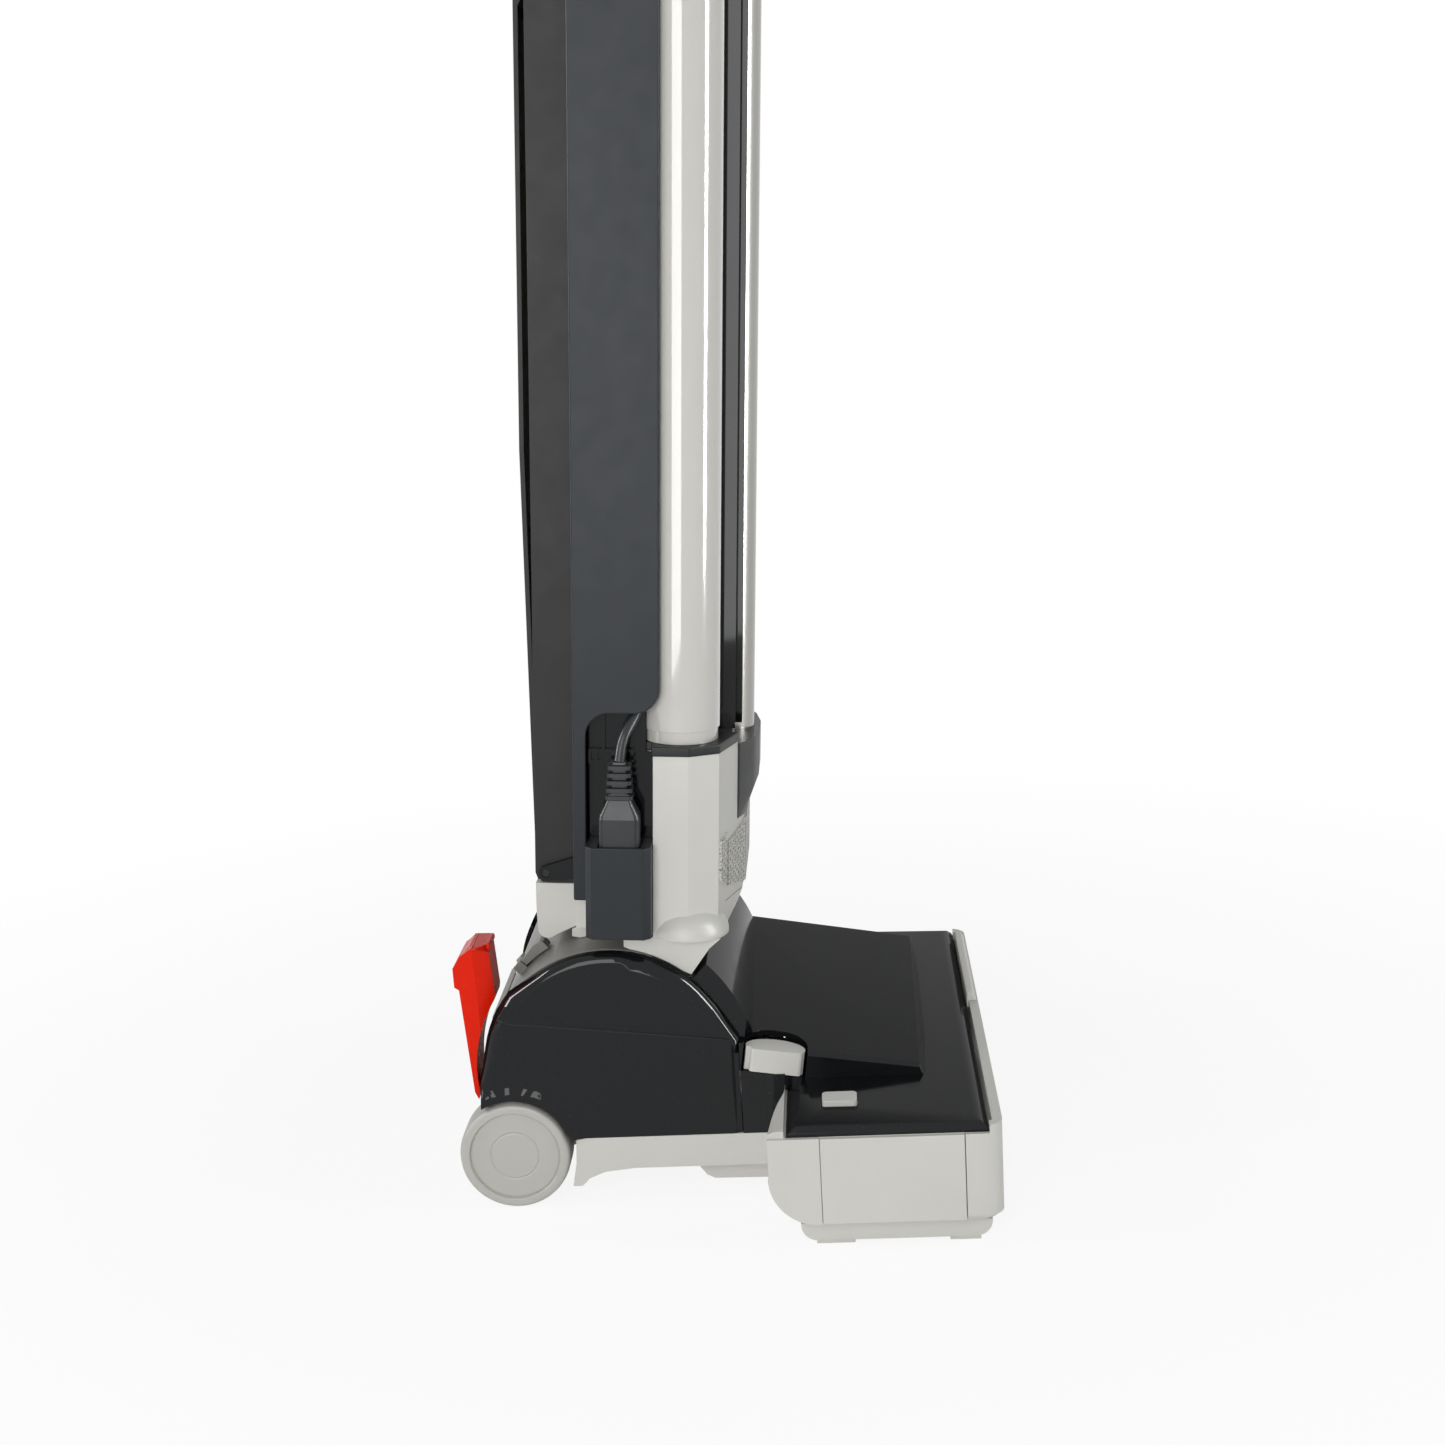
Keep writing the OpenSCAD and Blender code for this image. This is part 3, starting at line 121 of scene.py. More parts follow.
camera = bpy.data.objects.new("camera", bpy.data.cameras.new("camera"))
bpy.context.scene.collection.objects.link(camera)
camera.data.lens = LENS
camera.data.sensor_width = SENSOR
turn = Matrix((right_rolled, up_rolled, -forward)).transposed()
camera.matrix_world = Matrix.Translation(CAMERA_AT) @ turn.to_4x4()
bpy.context.scene.camera = camera

# %% [markdown]
# The mains cord comes next, because it has to be right before anything else is: it
# is one unbroken length of 12 m. It leaves the connector, runs up inside the side
# cover and ends as a hank on two hooks behind the handle. The free part is a short
# list of points. The hank's loops follow a rule, so a loop works them out.

# %% The cord's route
CORD_D = 7
CORD_ROUTE = [
    (-99, -6.5, 198), (-98.5, -7, 204), (-97, -8, 209.5), (-95, -10, 214.5), (-91.8, -12.5, 219),
    (-88.8, -15, 223.4), (-86.8, -17, 228.5), (-85.3, -18, 234), (-84.6, -18.5, 240),
    (-84.5, -18, 250), (-84.6, -16.5, 262), (-85, -13, 278), (-85.6, -7.5, 296), (-86, -2, 314),
    (-86, 1, 330), (-86, 2, 350), (-86, 2, 380), (-86, 2, 410), (-86, 2, 440), (-86, 2, 470),
    (-86, 2, 500), (-86, 2, 530), (-86, 2, 560), (-86, 2, 590), (-86, 3, 614), (-86, 6, 636),
    (-85.5, 11, 656), (-84, 18, 676), (-81, 26.5, 696), (-77, 35, 716), (-71.5, 43, 736),
    (-66, 49, 756), (-61.5, 52.5, 774), (-58.8, 54, 790), (-58.3, 54, 800),
]
HOOK_LOW = 722
HOOK_HIGH = 940
HANK_Y = 54             # middle of the layer nearest the handle
HANK_STEP = 8.6         # from one loop to the next outward
HANK_LAYER = 8
HANK_LAYERS = 4
HANK_LOOPS = 16
HOOK_HALF = 20.4        # half the width of a hook, where the inmost loop lies
HANK_IN = HOOK_HALF + CORD_D / 2
LAYER_LOOPS = HANK_LOOPS // HANK_LAYERS
BEND_STEPS = 8          # points in the bend round a hook
RUN_STEPS = 4           # points in a straight run between the hooks
LOW_BEND = BEND_STEPS + RUN_STEPS
RUN_UP = LOW_BEND + BEND_STEPS
LOOP_STEPS = RUN_UP + RUN_STEPS
HANK_TAIL = [(64, 905), (72, 881), (77, 857), (78, 839), (78, 827)]


def loop_point(k, rho):
    """(x, z) of step k of one loop: a bend, a run down, a bend and a run up."""
    if k <= BEND_STEPS:
        angle = math.pi * k / BEND_STEPS
        return -rho * math.cos(angle), HOOK_HIGH + rho * math.sin(angle)
    if k < LOW_BEND:
        return rho, HOOK_HIGH + (HOOK_LOW - HOOK_HIGH) * (k - BEND_STEPS) / RUN_STEPS
    if k <= RUN_UP:
        angle = math.pi * (k - LOW_BEND) / BEND_STEPS
        return rho * math.cos(angle), HOOK_LOW - rho * math.sin(angle)
    return -rho, HOOK_LOW + (HOOK_HIGH - HOOK_LOW) * (k - RUN_UP) / RUN_STEPS


def hank_points():
    """The wound part: flat spirals in and out, layer behind layer, and a loose tail."""
    points = []
    for i in range(LOOP_STEPS * HANK_LOOPS):
        loop, k = divmod(i, LOOP_STEPS)
        turns_in = abs(LAYER_LOOPS - (i / LOOP_STEPS) % (2 * LAYER_LOOPS))
        layer = loop // LAYER_LOOPS
        climbs = (loop + 1) % LAYER_LOOPS == 0 and layer < HANK_LAYERS - 1 and k > RUN_UP
        climbed = (k - RUN_UP) / RUN_STEPS if climbs else 0
        x, z = loop_point(k, HANK_IN + HANK_STEP * turns_in)
        points.append((x, HANK_Y + HANK_LAYER * (layer + climbed), z))
    last_y = HANK_Y + HANK_LAYER * (HANK_LAYERS - 1)
    for k in range(BEND_STEPS + 1):
        x, z = loop_point(k, HANK_IN + HANK_STEP * (LAYER_LOOPS + k / LOOP_STEPS))
        points.append((x, last_y, z))
    return points + [(x, last_y, z) for x, z in HANK_TAIL]


def tube(name, points, diameter):
    """A round tube, and its middle line, which follows the points smoothly.

    The curve is turned into a mesh, because a mesh knows its own true extent.
    """
    data = bpy.data.curves.new(name, "CURVE")
    data.dimensions = "3D"
    data.bevel_resolution = 4
    data.use_fill_caps = True
    data.resolution_u = 3
    data.render_resolution_u = 3
    spline = data.splines.new("NURBS")
    spline.points.add(len(points) - 1)
    for point, place in zip(spline.points, points):
        point.co = (*place, 1)
    spline.order_u = 4
    spline.use_endpoint_u = True
    drawn = bpy.data.objects.new(name + "_line", data)
    line = bpy.data.meshes.new_from_object(drawn)
    middle = [vert.co.copy() for vert in line.vertices]
    data.bevel_depth = diameter / 2
    mesh = bpy.data.meshes.new_from_object(drawn)
    mesh.shade_smooth()
    bpy.data.objects.remove(drawn)
    bpy.data.meshes.remove(line)
    bpy.data.curves.remove(data)
    piece = bpy.data.objects.new(name, mesh)
    bpy.context.scene.collection.objects.link(piece)
    return piece, middle


cord_line = [column(*p) for p in CORD_ROUTE + hank_points()]
mains_cord, cord_middle = tube("mains_cord", cord_line, CORD_D * MM)

# %% [markdown]
# Most pieces of a machine like this are injection mouldings, and a moulding never
# has a knife edge. Beveling a copy of the exact part is the quickest honest way to
# get the thin highlights that run along real plastic edges. The copy is merged
# first, its flat triangles are joined into whole faces, and only then is it cut.

# %% Pieces and their edges
def new_piece(name, bm, body, slot, stands_for=(), smooth=32, weighted=True):
    """Turn a bmesh, in the row frame, into a finished piece that rides on a body."""
    mesh = bpy.data.meshes.new(name)
    bm.to_mesh(mesh)
    bm.free()
    mesh.polygons.foreach_set("use_smooth", [True] * len(mesh.polygons))
    mesh.set_sharp_from_angle(angle=math.radians(smooth))
    piece = bpy.data.objects.new(name, mesh)
    bpy.context.scene.collection.objects.link(piece)
    if weighted:
        weights = piece.modifiers.new("flat faces stay flat", "WEIGHTED_NORMAL")
        weights.keep_sharp = True
    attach(piece, body)
    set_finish(piece, slot)
    for node in stands_for:
        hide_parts(node)
    return piece


def round_edges(bm, width, segments=2, sharper_than=28, keep=None):
    """Bevel every edge where two faces meet at more than an angle."""
    limit = math.radians(sharper_than)
    edges = [e for e in bm.edges if e.is_manifold and e.calc_face_angle() > limit]
    if keep:
        edges = [e for e in edges if keep(e)]
    bmesh.ops.bevel(bm, geom=edges, offset=width, offset_type="OFFSET", segments=segments,
                    profile=0.5, affect="EDGES", clamp_overlap=True, material=-1)


def merged_copy(node):
    """The exact part with its triangles joined into whole faces."""
    bm = bmesh.new()
    bm.from_mesh(nodes[node].data)
    bmesh.ops.remove_doubles(bm, verts=bm.verts, dist=2e-6)
    bmesh.ops.dissolve_limit(bm, angle_limit=math.radians(0.6), verts=bm.verts, edges=bm.edges)
    return bm


def skin(node, bm, smooth=32):
    """A piece that stands for a CAD node, on the node's body and in its slot."""
    body = nodes[node]["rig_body"]
    return new_piece(node + "_skin", bm, body, SLOT_OF[node], [node], smooth=smooth)


def rounded(node, width):
    """A copy of a CAD node with rounded edges, in the node's place."""
    bm = merged_copy(node)
    round_edges(bm, width * MM)
    return skin(node, bm)


# %% The mouldings that keep their drawn shape
EDGE_MM = {
    "base_pan": 0.9, "front_bumper": 1.6, "front_insert": 1.0, "sole_plate": 1.2,
    "sole_feet": 0.8, "end_panel_near": 0.5, "end_panel_far": 0.5, "lock_lever": 1.2,
    "release_button": 1.4, "height_knob": 1.4, "pivot_drum": 0.8, "column_foot": 1.5,
    "filter_housing": 0.9, "suction_tube": 1.2, "gasket_plate": 0.9, "spine": 1.5,
    "side_cover_near": 1.0, "side_cover_far": 1.0, "bag_door": 1.5, "door_latch": 0.8,
    "rear_cap": 1.5, "wand_holder": 2.0, "socket_box": 1.3, "top_housing": 2.5,
    "handle_grip": 4.0, "power_switch": 0.7, "hook_lower": 1.5, "hook_upper": 1.5,
    "hose_cuffs": 1.2, "mains_plug": 1.0, "brush_bearings": 1.0, "wheel_near": 0.5,
    "wheel_far": 0.5,
}
skins = {node: rounded(node, width) for node, width in EDGE_MM.items()}
print("rounded copies:", len(skins))

# %% [markdown]
# The domes beside the drum are thick, polished caps, and their rim is what draws the
# long arcs of light. The drawn rim is rounded by 6 mm. Here its rings are drawn in
# further, towards the dome's middle, so that the round grows without new faces.

# %% Domes with a full rim
SIDE_X = 104
RIM_R = 79.4            # radius of the rim before it is rounded
RIM_DROP = {0.0: 6.0, 0.6: 3.6, 2.0: 1.6, 4.0: 0.4, 6.0: 0.0}  # ring inward: radius it has lost
RIM_GROWTH = 0.75
RIM_TURNS = (8, 150)    # degrees round the dome between which the rim runs free
DOME_MIDDLE = head(0, 236.5, 88)
ON_RING = 0.05          # how near a point has to be to its ring, along x and outwards
ON_RADIUS = 1.8


def full_rim(node, side):
    """A copy of a dome whose rim rings are drawn in towards the middle."""
    bm = merged_copy(node)
    moved = 0
    for vert in bm.verts:
        inward = SIDE_X - side * vert.co.x / MM
        ring = min(RIM_DROP, key=lambda step: abs(step - inward))
        out = Vector((0, vert.co.y - DOME_MIDDLE.y, vert.co.z - DOME_MIDDLE.z))
        free = RIM_TURNS[0] < math.degrees(math.atan2(out.z, out.y)) < RIM_TURNS[1]
        on_rim = abs(out.length / MM - RIM_R + RIM_DROP[ring]) < ON_RADIUS
        if abs(ring - inward) > ON_RING or not free or not on_rim:
            continue
        vert.co -= out.normalized() * RIM_DROP[ring] * RIM_GROWTH * MM
        vert.co.x -= side * inward * RIM_GROWTH * MM
        moved += 1
    print(node, "rim points moved:", moved)
    return bm


WHEEL_MIDDLE = head(0, 300.3, 35)
FLARE_REACH = 56 * MM   # inside it the flare's facets are finer than a rounded edge


def clear_of_flare(edge):
    """Whether an edge lies outside the round flare above a wheel."""
    away = (edge.verts[0].co + edge.verts[1].co) / 2 - WHEEL_MIDDLE
    return math.hypot(away.y, away.z) > FLARE_REACH


for node, side in (("dome_near", -1), ("dome_far", 1)):
    bm = full_rim(node, side)
    bmesh.ops.dissolve_degenerate(bm, edges=bm.edges, dist=0.4 * MM)
    round_edges(bm, 0.5 * MM, 2, 40, keep=clear_of_flare)
    skins[node] = skin(node, bm, smooth=40)

# %% [markdown]
# Behind its wings the hood turns down to the pale block. The drawing leaves the end
# of the block's wall bare there, where the real hood covers it. A thin dark cheek
# on each side closes that gap, as one piece with the hood's rounded copy.

# %% Hood with its cheeks
CHEEK_X = 104.8
CHEEK_HALF = 0.5        # half the thickness of a cheek


def boxed(bm, low, high, edge):
    """Add a block with rounded edges between two corners, in millimetres."""
    low, high = Vector(low), Vector(high)
    place = Matrix.Translation((low + high) / 2) @ Matrix.Diagonal((*(high - low), 1))
    verts = bmesh.ops.create_cube(bm, size=1, matrix=place)["verts"]
    edges = list({e for v in verts for e in v.link_edges})
    bmesh.ops.bevel(bm, geom=edges, offset=edge, offset_type="OFFSET", segments=2,
                    profile=0.5, affect="EDGES", material=-1)


bm = merged_copy("hood")
round_edges(bm, 1.5 * MM)
bm.transform(HEAD.inverted())
for side in (-1, 1):
    boxed(bm, (side * CHEEK_X - CHEEK_HALF, 128.2, 46.6),
          (side * CHEEK_X + CHEEK_HALF, 140.2, 84), 0.3)
bm.transform(HEAD)
skins["hood"] = skin("hood", bm)

# %% [markdown]
# The recline pedal is a hollow lever whose cap has a square upper corner and a small
# lip at the front, where the foot slides off. Four points of the copy are drawn out
# to that corner, and a thin bar with round edges makes the lip.

# %% Recline pedal
PEDAL_MOVES = {         # (y, z) as drawn: (y, z) as moulded
    (307.8, 158): (308.8, 165.5),
    (315, 170.6): (310.5, 170.4),
    (306.5, 140): (307, 138),
}
PEDAL_NEAR = 0.4        # how near a point has to be to the drawn place
LIP_LOW = (-91, 307.7, 167)
LIP_HIGH = (-69, 310.7, 171)

bm = merged_copy("recline_pedal")
bm.transform(HEAD.inverted())
for vert in bm.verts:
    for (y, z), (new_y, new_z) in PEDAL_MOVES.items():
        if math.hypot(vert.co.y - y, vert.co.z - z) < PEDAL_NEAR:
            vert.co.y, vert.co.z = new_y, new_z
round_edges(bm, 1.3, 2, 24)
boxed(bm, LIP_LOW, LIP_HIGH, 1.1)
bm.transform(HEAD)
skins["recline_pedal"] = skin("recline_pedal", bm)
print("pedal faces:", len(skins["recline_pedal"].data.polygons))

# %% [markdown]
# A moulded plug is soft rubber poured round the pins, so it has no flat sides and
# its neck is a row of fins that bend. One rounded square is extruded upwards again
# and again, and every extrusion is scaled, which draws the whole outline in one go.

# %% Stacked forms
def stacked(levels, corner, segments=4):
    """A closed form of rounded rectangles: each level is (height, half x, half y)."""
    bm = bmesh.new()
    z, x, y = levels[0]
    corners = [bm.verts.new((i * x, j * y, z)) for i, j in ((-1, -1), (1, -1), (1, 1), (-1, 1))]
    bm.faces.new(corners)
    bmesh.ops.bevel(bm, geom=corners, offset=corner, offset_type="OFFSET", segments=segments,
                    profile=0.5, affect="VERTICES", material=-1)
    bm.faces.ensure_lookup_table()
    top = bm.faces[0]
    for below, above in zip(levels, levels[1:]):
        made = bmesh.ops.extrude_face_region(bm, geom=[top])["geom"]
        top = next(g for g in made if isinstance(g, bmesh.types.BMFace))
        bmesh.ops.scale(bm, verts=top.verts, vec=(above[1] / below[1], above[2] / below[2], 1))
        bmesh.ops.translate(bm, verts=top.verts, vec=(0, 0, above[0] - below[0]))
    bmesh.ops.recalc_face_normals(bm, faces=bm.faces)
    return bm


# %% Connector with its finned neck
PLUG_X = -99
PLUG_Y = -6.5
FINS = 5
FIN_FOOT = 175.2
FIN_PITCH = 4.6
NECK_TOP = (198, 3.9, 4.0)  # where the neck closes round the cord

levels = [(126.3, 7.2, 11.8), (127.2, 8, 12.5), (163, 8, 12.5), (165.5, 7.6, 12.1),
          (171, 6.6, 9.2), (174.6, 6.1, 7.6)]
for fin in range(FINS):
    foot = FIN_FOOT + FIN_PITCH * fin
    wide, deep = 7 - 0.3 * fin, 8.5 - 0.35 * fin
    neck_wide, neck_deep = 4.9 - 0.2 * fin, 5.4 - 0.3 * fin
    levels += [(foot, wide, deep), (foot + 2.4, wide, deep),
               (foot + 2.9, neck_wide, neck_deep), (foot + 4.2, neck_wide, neck_deep)]
levels[-1] = NECK_TOP
bm = stacked(levels, corner=3.2)
bmesh.ops.translate(bm, verts=bm.verts, vec=(PLUG_X, PLUG_Y, 0))
bm.transform(COLUMN)
round_edges(bm, 0.45 * MM, 2, 35)
connector = new_piece("connector", bm, "column", SLOT_OF["cord_connector"], ["cord_connector"])
print("connector faces:", len(connector.data.polygons))

# %% [markdown]
# The hose is a ribbed tube that runs up the far side, turns over the top and drops
# into the suction tube. A single ring is extruded along the route with a new radius
# at every step, so the ribs are real and catch the light at the outline too.

# %% Ribbed hose
HOSE_X = 68
HOSE_Y = -41.7
HOSE_FOOT = 226
HOSE_TOP = 715
HOSE_BACK = 22          # how far the turn leans back
HOSE_PITCH = 8
HOSE_R = 19
HOSE_RIB = [            # one rib: (share of the pitch, radius)
    (0.0, HOSE_R - 2), (0.22, HOSE_R - 0.3), (0.4, HOSE_R), (0.6, HOSE_R - 0.2),
    (0.8, HOSE_R - 2),
]


def hose_at(s):
    """The middle of the hose, s millimetres from its foot."""
    run = HOSE_TOP - HOSE_FOOT
    if s < run:
        return Vector((HOSE_X, HOSE_Y, HOSE_FOOT + s))
    angle = min(math.pi, (s - run) / HOSE_X)
    return Vector((HOSE_X * math.cos(angle), HOSE_Y + HOSE_BACK * math.sin(angle) ** 2,
                   HOSE_TOP + HOSE_X * math.sin(angle)))


def swept_ribs(route, length, rib, segments=28):
    """Extrude a ring along a route; rib is a list of (share of a pitch, radius)."""
    bm = bmesh.new()
    start = bmesh.ops.create_circle(bm, cap_ends=True, radius=rib[0][1],
                                    segments=segments)["verts"]
    ring = list({e for v in start for e in v.link_edges})
    stations = [(HOSE_PITCH * (k + share), radius)
                for k in range(int(length / HOSE_PITCH)) for share, radius in rib]
    place = Matrix.Identity(4)
    old_radius = rib[0][1]
    for count, (s, radius) in enumerate(stations):
        ahead = (route(s + 0.5) - route(max(s - 0.5, 0))).normalized()
        aim = Matrix.Translation(route(s)) @ ahead.to_track_quat("Z", "Y").to_matrix().to_4x4()
        if count:
            made = bmesh.ops.extrude_edge_only(bm, edges=ring)["geom"]
            ring = [g for g in made if isinstance(g, bmesh.types.BMEdge)]
            start = [g for g in made if isinstance(g, bmesh.types.BMVert)]
        grow = Matrix.Diagonal((radius / old_radius, radius / old_radius, 1, 1))
        bmesh.ops.transform(bm, matrix=aim @ grow @ place.inverted(), verts=start)
        place, old_radius = aim, radius
    bmesh.ops.contextual_create(bm, geom=ring)
    bmesh.ops.recalc_face_normals(bm, faces=bm.faces)
    return bm


hose_length = HOSE_TOP - HOSE_FOOT + math.pi * HOSE_X
bm = swept_ribs(hose_at, hose_length, HOSE_RIB)
bm.transform(COLUMN)
ribbed_hose = new_piece("ribbed_hose", bm, "column", SLOT_OF["hose"], ["hose"], smooth=60,
                        weighted=False)
print("hose:", round(hose_length), "mm,", len(ribbed_hose.data.polygons), "faces")

# %% [markdown]
# Bristles are set in tufts along two strips that wind round the core. Modelling each
# hair would cost a fortune in faces. A tuft is a short cone that opens outwards, and
# its ragged look comes from small differences in lean and length.

# %% Brush tufts
BRUSH_Y = 62
BRUSH_Z = 34
BRUSH_R = 32
CORE_R = 17
BRUSH_TURN = 0.9        # degrees of winding per millimetre
BELT_X = 92
BELT_HALF = 10.5        # half the gap that the belt runs in
BRUSH_HALF = 145.5      # half the length that carries tufts
FIRST_TUFT = -146
TUFT_PITCH = 3
TUFT_STEPS = 98
TUFT_OFF = 0.75         # a pair of tufts stands this far on each side of its step

bm = bmesh.new()
tufts = 0
for start in (0, 180):
    for step in range(TUFT_STEPS):
        for side in (-1, 1):
            x = FIRST_TUFT + TUFT_PITCH * step + TUFT_OFF * side
            if abs(x - BELT_X) < BELT_HALF or abs(x) > BRUSH_HALF:
                continue
            angle = math.radians(start + BRUSH_TURN * x + 3.2 * side)
            wobble = math.sin(step * 2.4 + side) * 0.04
            out = BRUSH_R - 0.5 - 0.4 * abs(math.sin(step * 5.1 + side))
            aim = (Matrix.Translation((x, BRUSH_Y, BRUSH_Z))
                   @ Matrix.Rotation(angle - math.pi / 2 + wobble, 4, "X")
                   @ Matrix.Translation((0, 0, (CORE_R - 1 + out) / 2)))
            bmesh.ops.create_cone(bm, cap_ends=True, segments=7, radius1=1.0, radius2=1.5,
                                  depth=out - CORE_R + 1, matrix=aim)
            tufts += 1
bm.transform(HEAD)
bristles = new_piece("bristle_tufts", bm, nodes["brush_bristles"]["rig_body"],
                     SLOT_OF["brush_bristles"], ["brush_bristles"], weighted=False)
print("tufts:", tufts)

# %% [markdown]
# The dust bag is a paper sack with a gusset down each side, and it fills from the
# top. It is a subdivided block whose sides are drawn in and whose faces are crowned,
# with a few soft folds.

# %% Dust bag
def paper_bag():
    """A crowned block with gussets and folds; u, v and w run from -1 to 1 across it."""
    half_x, back, front, foot, top = 57, 43, -9, 145, 599
    bm = bmesh.new()
    bmesh.ops.create_cube(bm, size=2)
    bmesh.ops.subdivide_edges(bm, edges=bm.edges, cuts=11, use_grid_fill=True)
    for vert in bm.verts:
        u, v, w = vert.co
        end = max(0.0, abs(w) - 0.72) / 0.28
        crown = 1 - 0.42 * end ** 2
        gusset = 1 - 0.10 * max(0.0, 1 - abs(v) * 1.6) * (1 - end)
        fold = 0.9 * math.sin(9 * w + 3 * u) + 0.6 * math.sin(17 * w - 4 * v + 1)
        x = half_x * u * gusset * (1 - 0.05 * end)
        belly = (1 - 0.30 * u * u) * crown
        y = (back + front) / 2 + (back - front) / 2 * v * belly - fold * (1 - abs(end)) * v
        vert.co = (x, y, (foot + top) / 2 + (top - foot) / 2 * w)
    bm.transform(COLUMN)
    return bm


bag = new_piece("paper_bag", paper_bag(), "column", SLOT_OF["dust_bag"], ["dust_bag"],
                smooth=180, weighted=False)
round_off = bag.modifiers.new("soft paper", "SUBSURF")
round_off.levels = round_off.render_levels = 1
print("bag:", [round(d * 1000) for d in bag.dimensions], "mm")

# %% [markdown]
# The exhaust grille is a plate that follows three facets of the housing. Its face is
# a lattice of thin ribs that cross, with darker gaps behind them. Each rib is a long
# bar, and planes cut every bar off where the lattice ends, so no end sticks out.

# %% Grille plate
FACET_X = 85
FACET_Y = -66
FRONT_X = 40
FRONT_Y = -80
FACET_LEAN = math.atan2(FACET_Y - FRONT_Y, FACET_X - FRONT_X)


def facet_y(x):
    """How far forward the housing reaches at x."""
    share = (FACET_X - max(abs(x), FRONT_X)) / (FACET_X - FRONT_X)
    return FACET_Y + (FRONT_Y - FACET_Y) * share


def all_of(bm):
    return bm.verts[:] + bm.edges[:] + bm.faces[:]


def cut_off(bm, point, outward):
    """Cut away what lies beyond a plane, and close the cut."""
    bmesh.ops.bisect_plane(bm, geom=all_of(bm), clear_outer=True, plane_co=point, plane_no=outward)
    bmesh.ops.holes_fill(bm, edges=[e for e in bm.edges if e.is_boundary])


GRILLE_FOOT = 102.3
GRILLE_TALL = 47
GRILLE_THICK = 4.6
GRILLE_X = 71.7         # how far the plate reaches to each side

bm = bmesh.new()
outline = [(-GRILLE_X, facet_y(GRILLE_X)), (-FRONT_X, FRONT_Y), (FRONT_X, FRONT_Y),
           (GRILLE_X, facet_y(GRILLE_X))]
plan = outline + [(x, y + GRILLE_THICK) for x, y in reversed(outline)]
foot = bm.faces.new([bm.verts.new((x, y, GRILLE_FOOT)) for x, y in plan])
made = bmesh.ops.extrude_face_region(bm, geom=[foot])["geom"]
upper = [g for g in made if isinstance(g, bmesh.types.BMVert)]
bmesh.ops.translate(bm, verts=upper, vec=(0, 0, GRILLE_TALL))
for side in (-1, 1):    # the upper corners slope down to the sides
    cut_off(bm, (side * 38, 0, 149.3), Vector((side * 7.7, 0, 34)).normalized())
cut_off(bm, (0, -79.1, 103), Vector((0, -12, -5)).normalized())  # the lower edge leans back
bmesh.ops.recalc_face_normals(bm, faces=bm.faces)
round_edges(bm, 0.5, 1, 40)
bm.transform(COLUMN)
grille = new_piece("exhaust_grille", bm, nodes["vent_grille"]["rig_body"],
                   SLOT_OF["vent_grille"], ["vent_grille"])

# %% Lattice of ribs
RIB_PITCH = 6.2
RIB_LEAN = math.radians(50)
RIB_WIDE = 1.5
RIB_DEEP = 2.4          # half of it stands out of the facet
RIB_LONG = 130          # before it is cut off at the edge of its field
RIB_MIDDLE = 126        # height at which the crossing bars meet
FACETS = {"front": (0, 0), "near": (-62.5, 1), "far": (62.5, -1)}  # middle x, way it turns


def facet_frame(facet):
    """Lays out a facet: x along it, y into it and z up."""
    x, turn = FACETS[facet]
    return Matrix.Translation((x, facet_y(x), 0)) @ Matrix.Rotation(-turn * FACET_LEAN, 4, "Z")


def rib_field(facet, left, right, low, high):
    """Crossing bars on a facet; low and high are heights at its left and right edge."""
    field = bmesh.new()
    reach = (right - left) / 2 + 45
    for lean in (-RIB_LEAN, RIB_LEAN):
        for k in range(-int(reach / RIB_PITCH), int(reach / RIB_PITCH) + 1):
            place = (Matrix.Translation(((left + right) / 2 + k * RIB_PITCH, -0.2, RIB_MIDDLE))
                     @ Matrix.Rotation(lean, 4, "Y")
                     @ Matrix.Diagonal((RIB_WIDE, RIB_DEEP, RIB_LONG, 1)))
            bmesh.ops.create_cube(field, size=1, matrix=place)
    for x, outward in ((left, -1), (right, 1)):
        cut_off(field, (x, 0, 0), (outward, 0, 0))
    for line, outward in ((low, -1), (high, 1)):
        slope = Vector((line[1] - line[0], 0, left - right)).normalized() * -outward
        cut_off(field, (left, 0, line[0]), slope)
    field.transform(facet_frame(facet))
    return field


def joined(fields):
    """Several bmeshes as one, put into the column's place."""
    whole = bmesh.new()
    for field in fields:
        mesh = bpy.data.meshes.new("part of a lattice")
        field.to_mesh(mesh)
        field.free()
        whole.from_mesh(mesh)
        bpy.data.meshes.remove(mesh)
    whole.transform(COLUMN)
    return whole


on_plate = joined([
    rib_field("front", -38.9, 38.9, (106.5, 106.5), (147.5, 147.5)),
    rib_field("near", -8.2, 22.4, (112, 106.5), (140.5, 146.5)),
    rib_field("far", -22.4, 8.2, (106.5, 112), (146.5, 140.5))])
beside = joined([
    rib_field("near", -22.6, -11.2, (118, 114), (144, 147)),
    rib_field("far", 11.2, 22.6, (114, 118), (147, 144))])
ribs = new_piece("grille_ribs", on_plate, nodes["vent_grille"]["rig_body"],
                 SLOT_OF["vent_grille"], weighted=False)
side_ribs = new_piece("facet_ribs", beside, "column", SLOT_OF["filter_housing"],
                      weighted=False)
print("rib faces:", len(ribs.data.polygons) + len(side_ribs.data.polygons))

own_pieces = [connector, ribbed_hose, bristles, bag, grille, ribs, side_ribs]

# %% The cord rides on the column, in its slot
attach(mains_cord, "column")
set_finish(mains_cord, "cord_rubber")
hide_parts("cord_stretch", "cord_hank")

# %% [markdown]
# Shader maths reads best as ordinary sums. A small class wraps a socket, so that an
# expression in Python adds its Math nodes, and one method makes any other node.

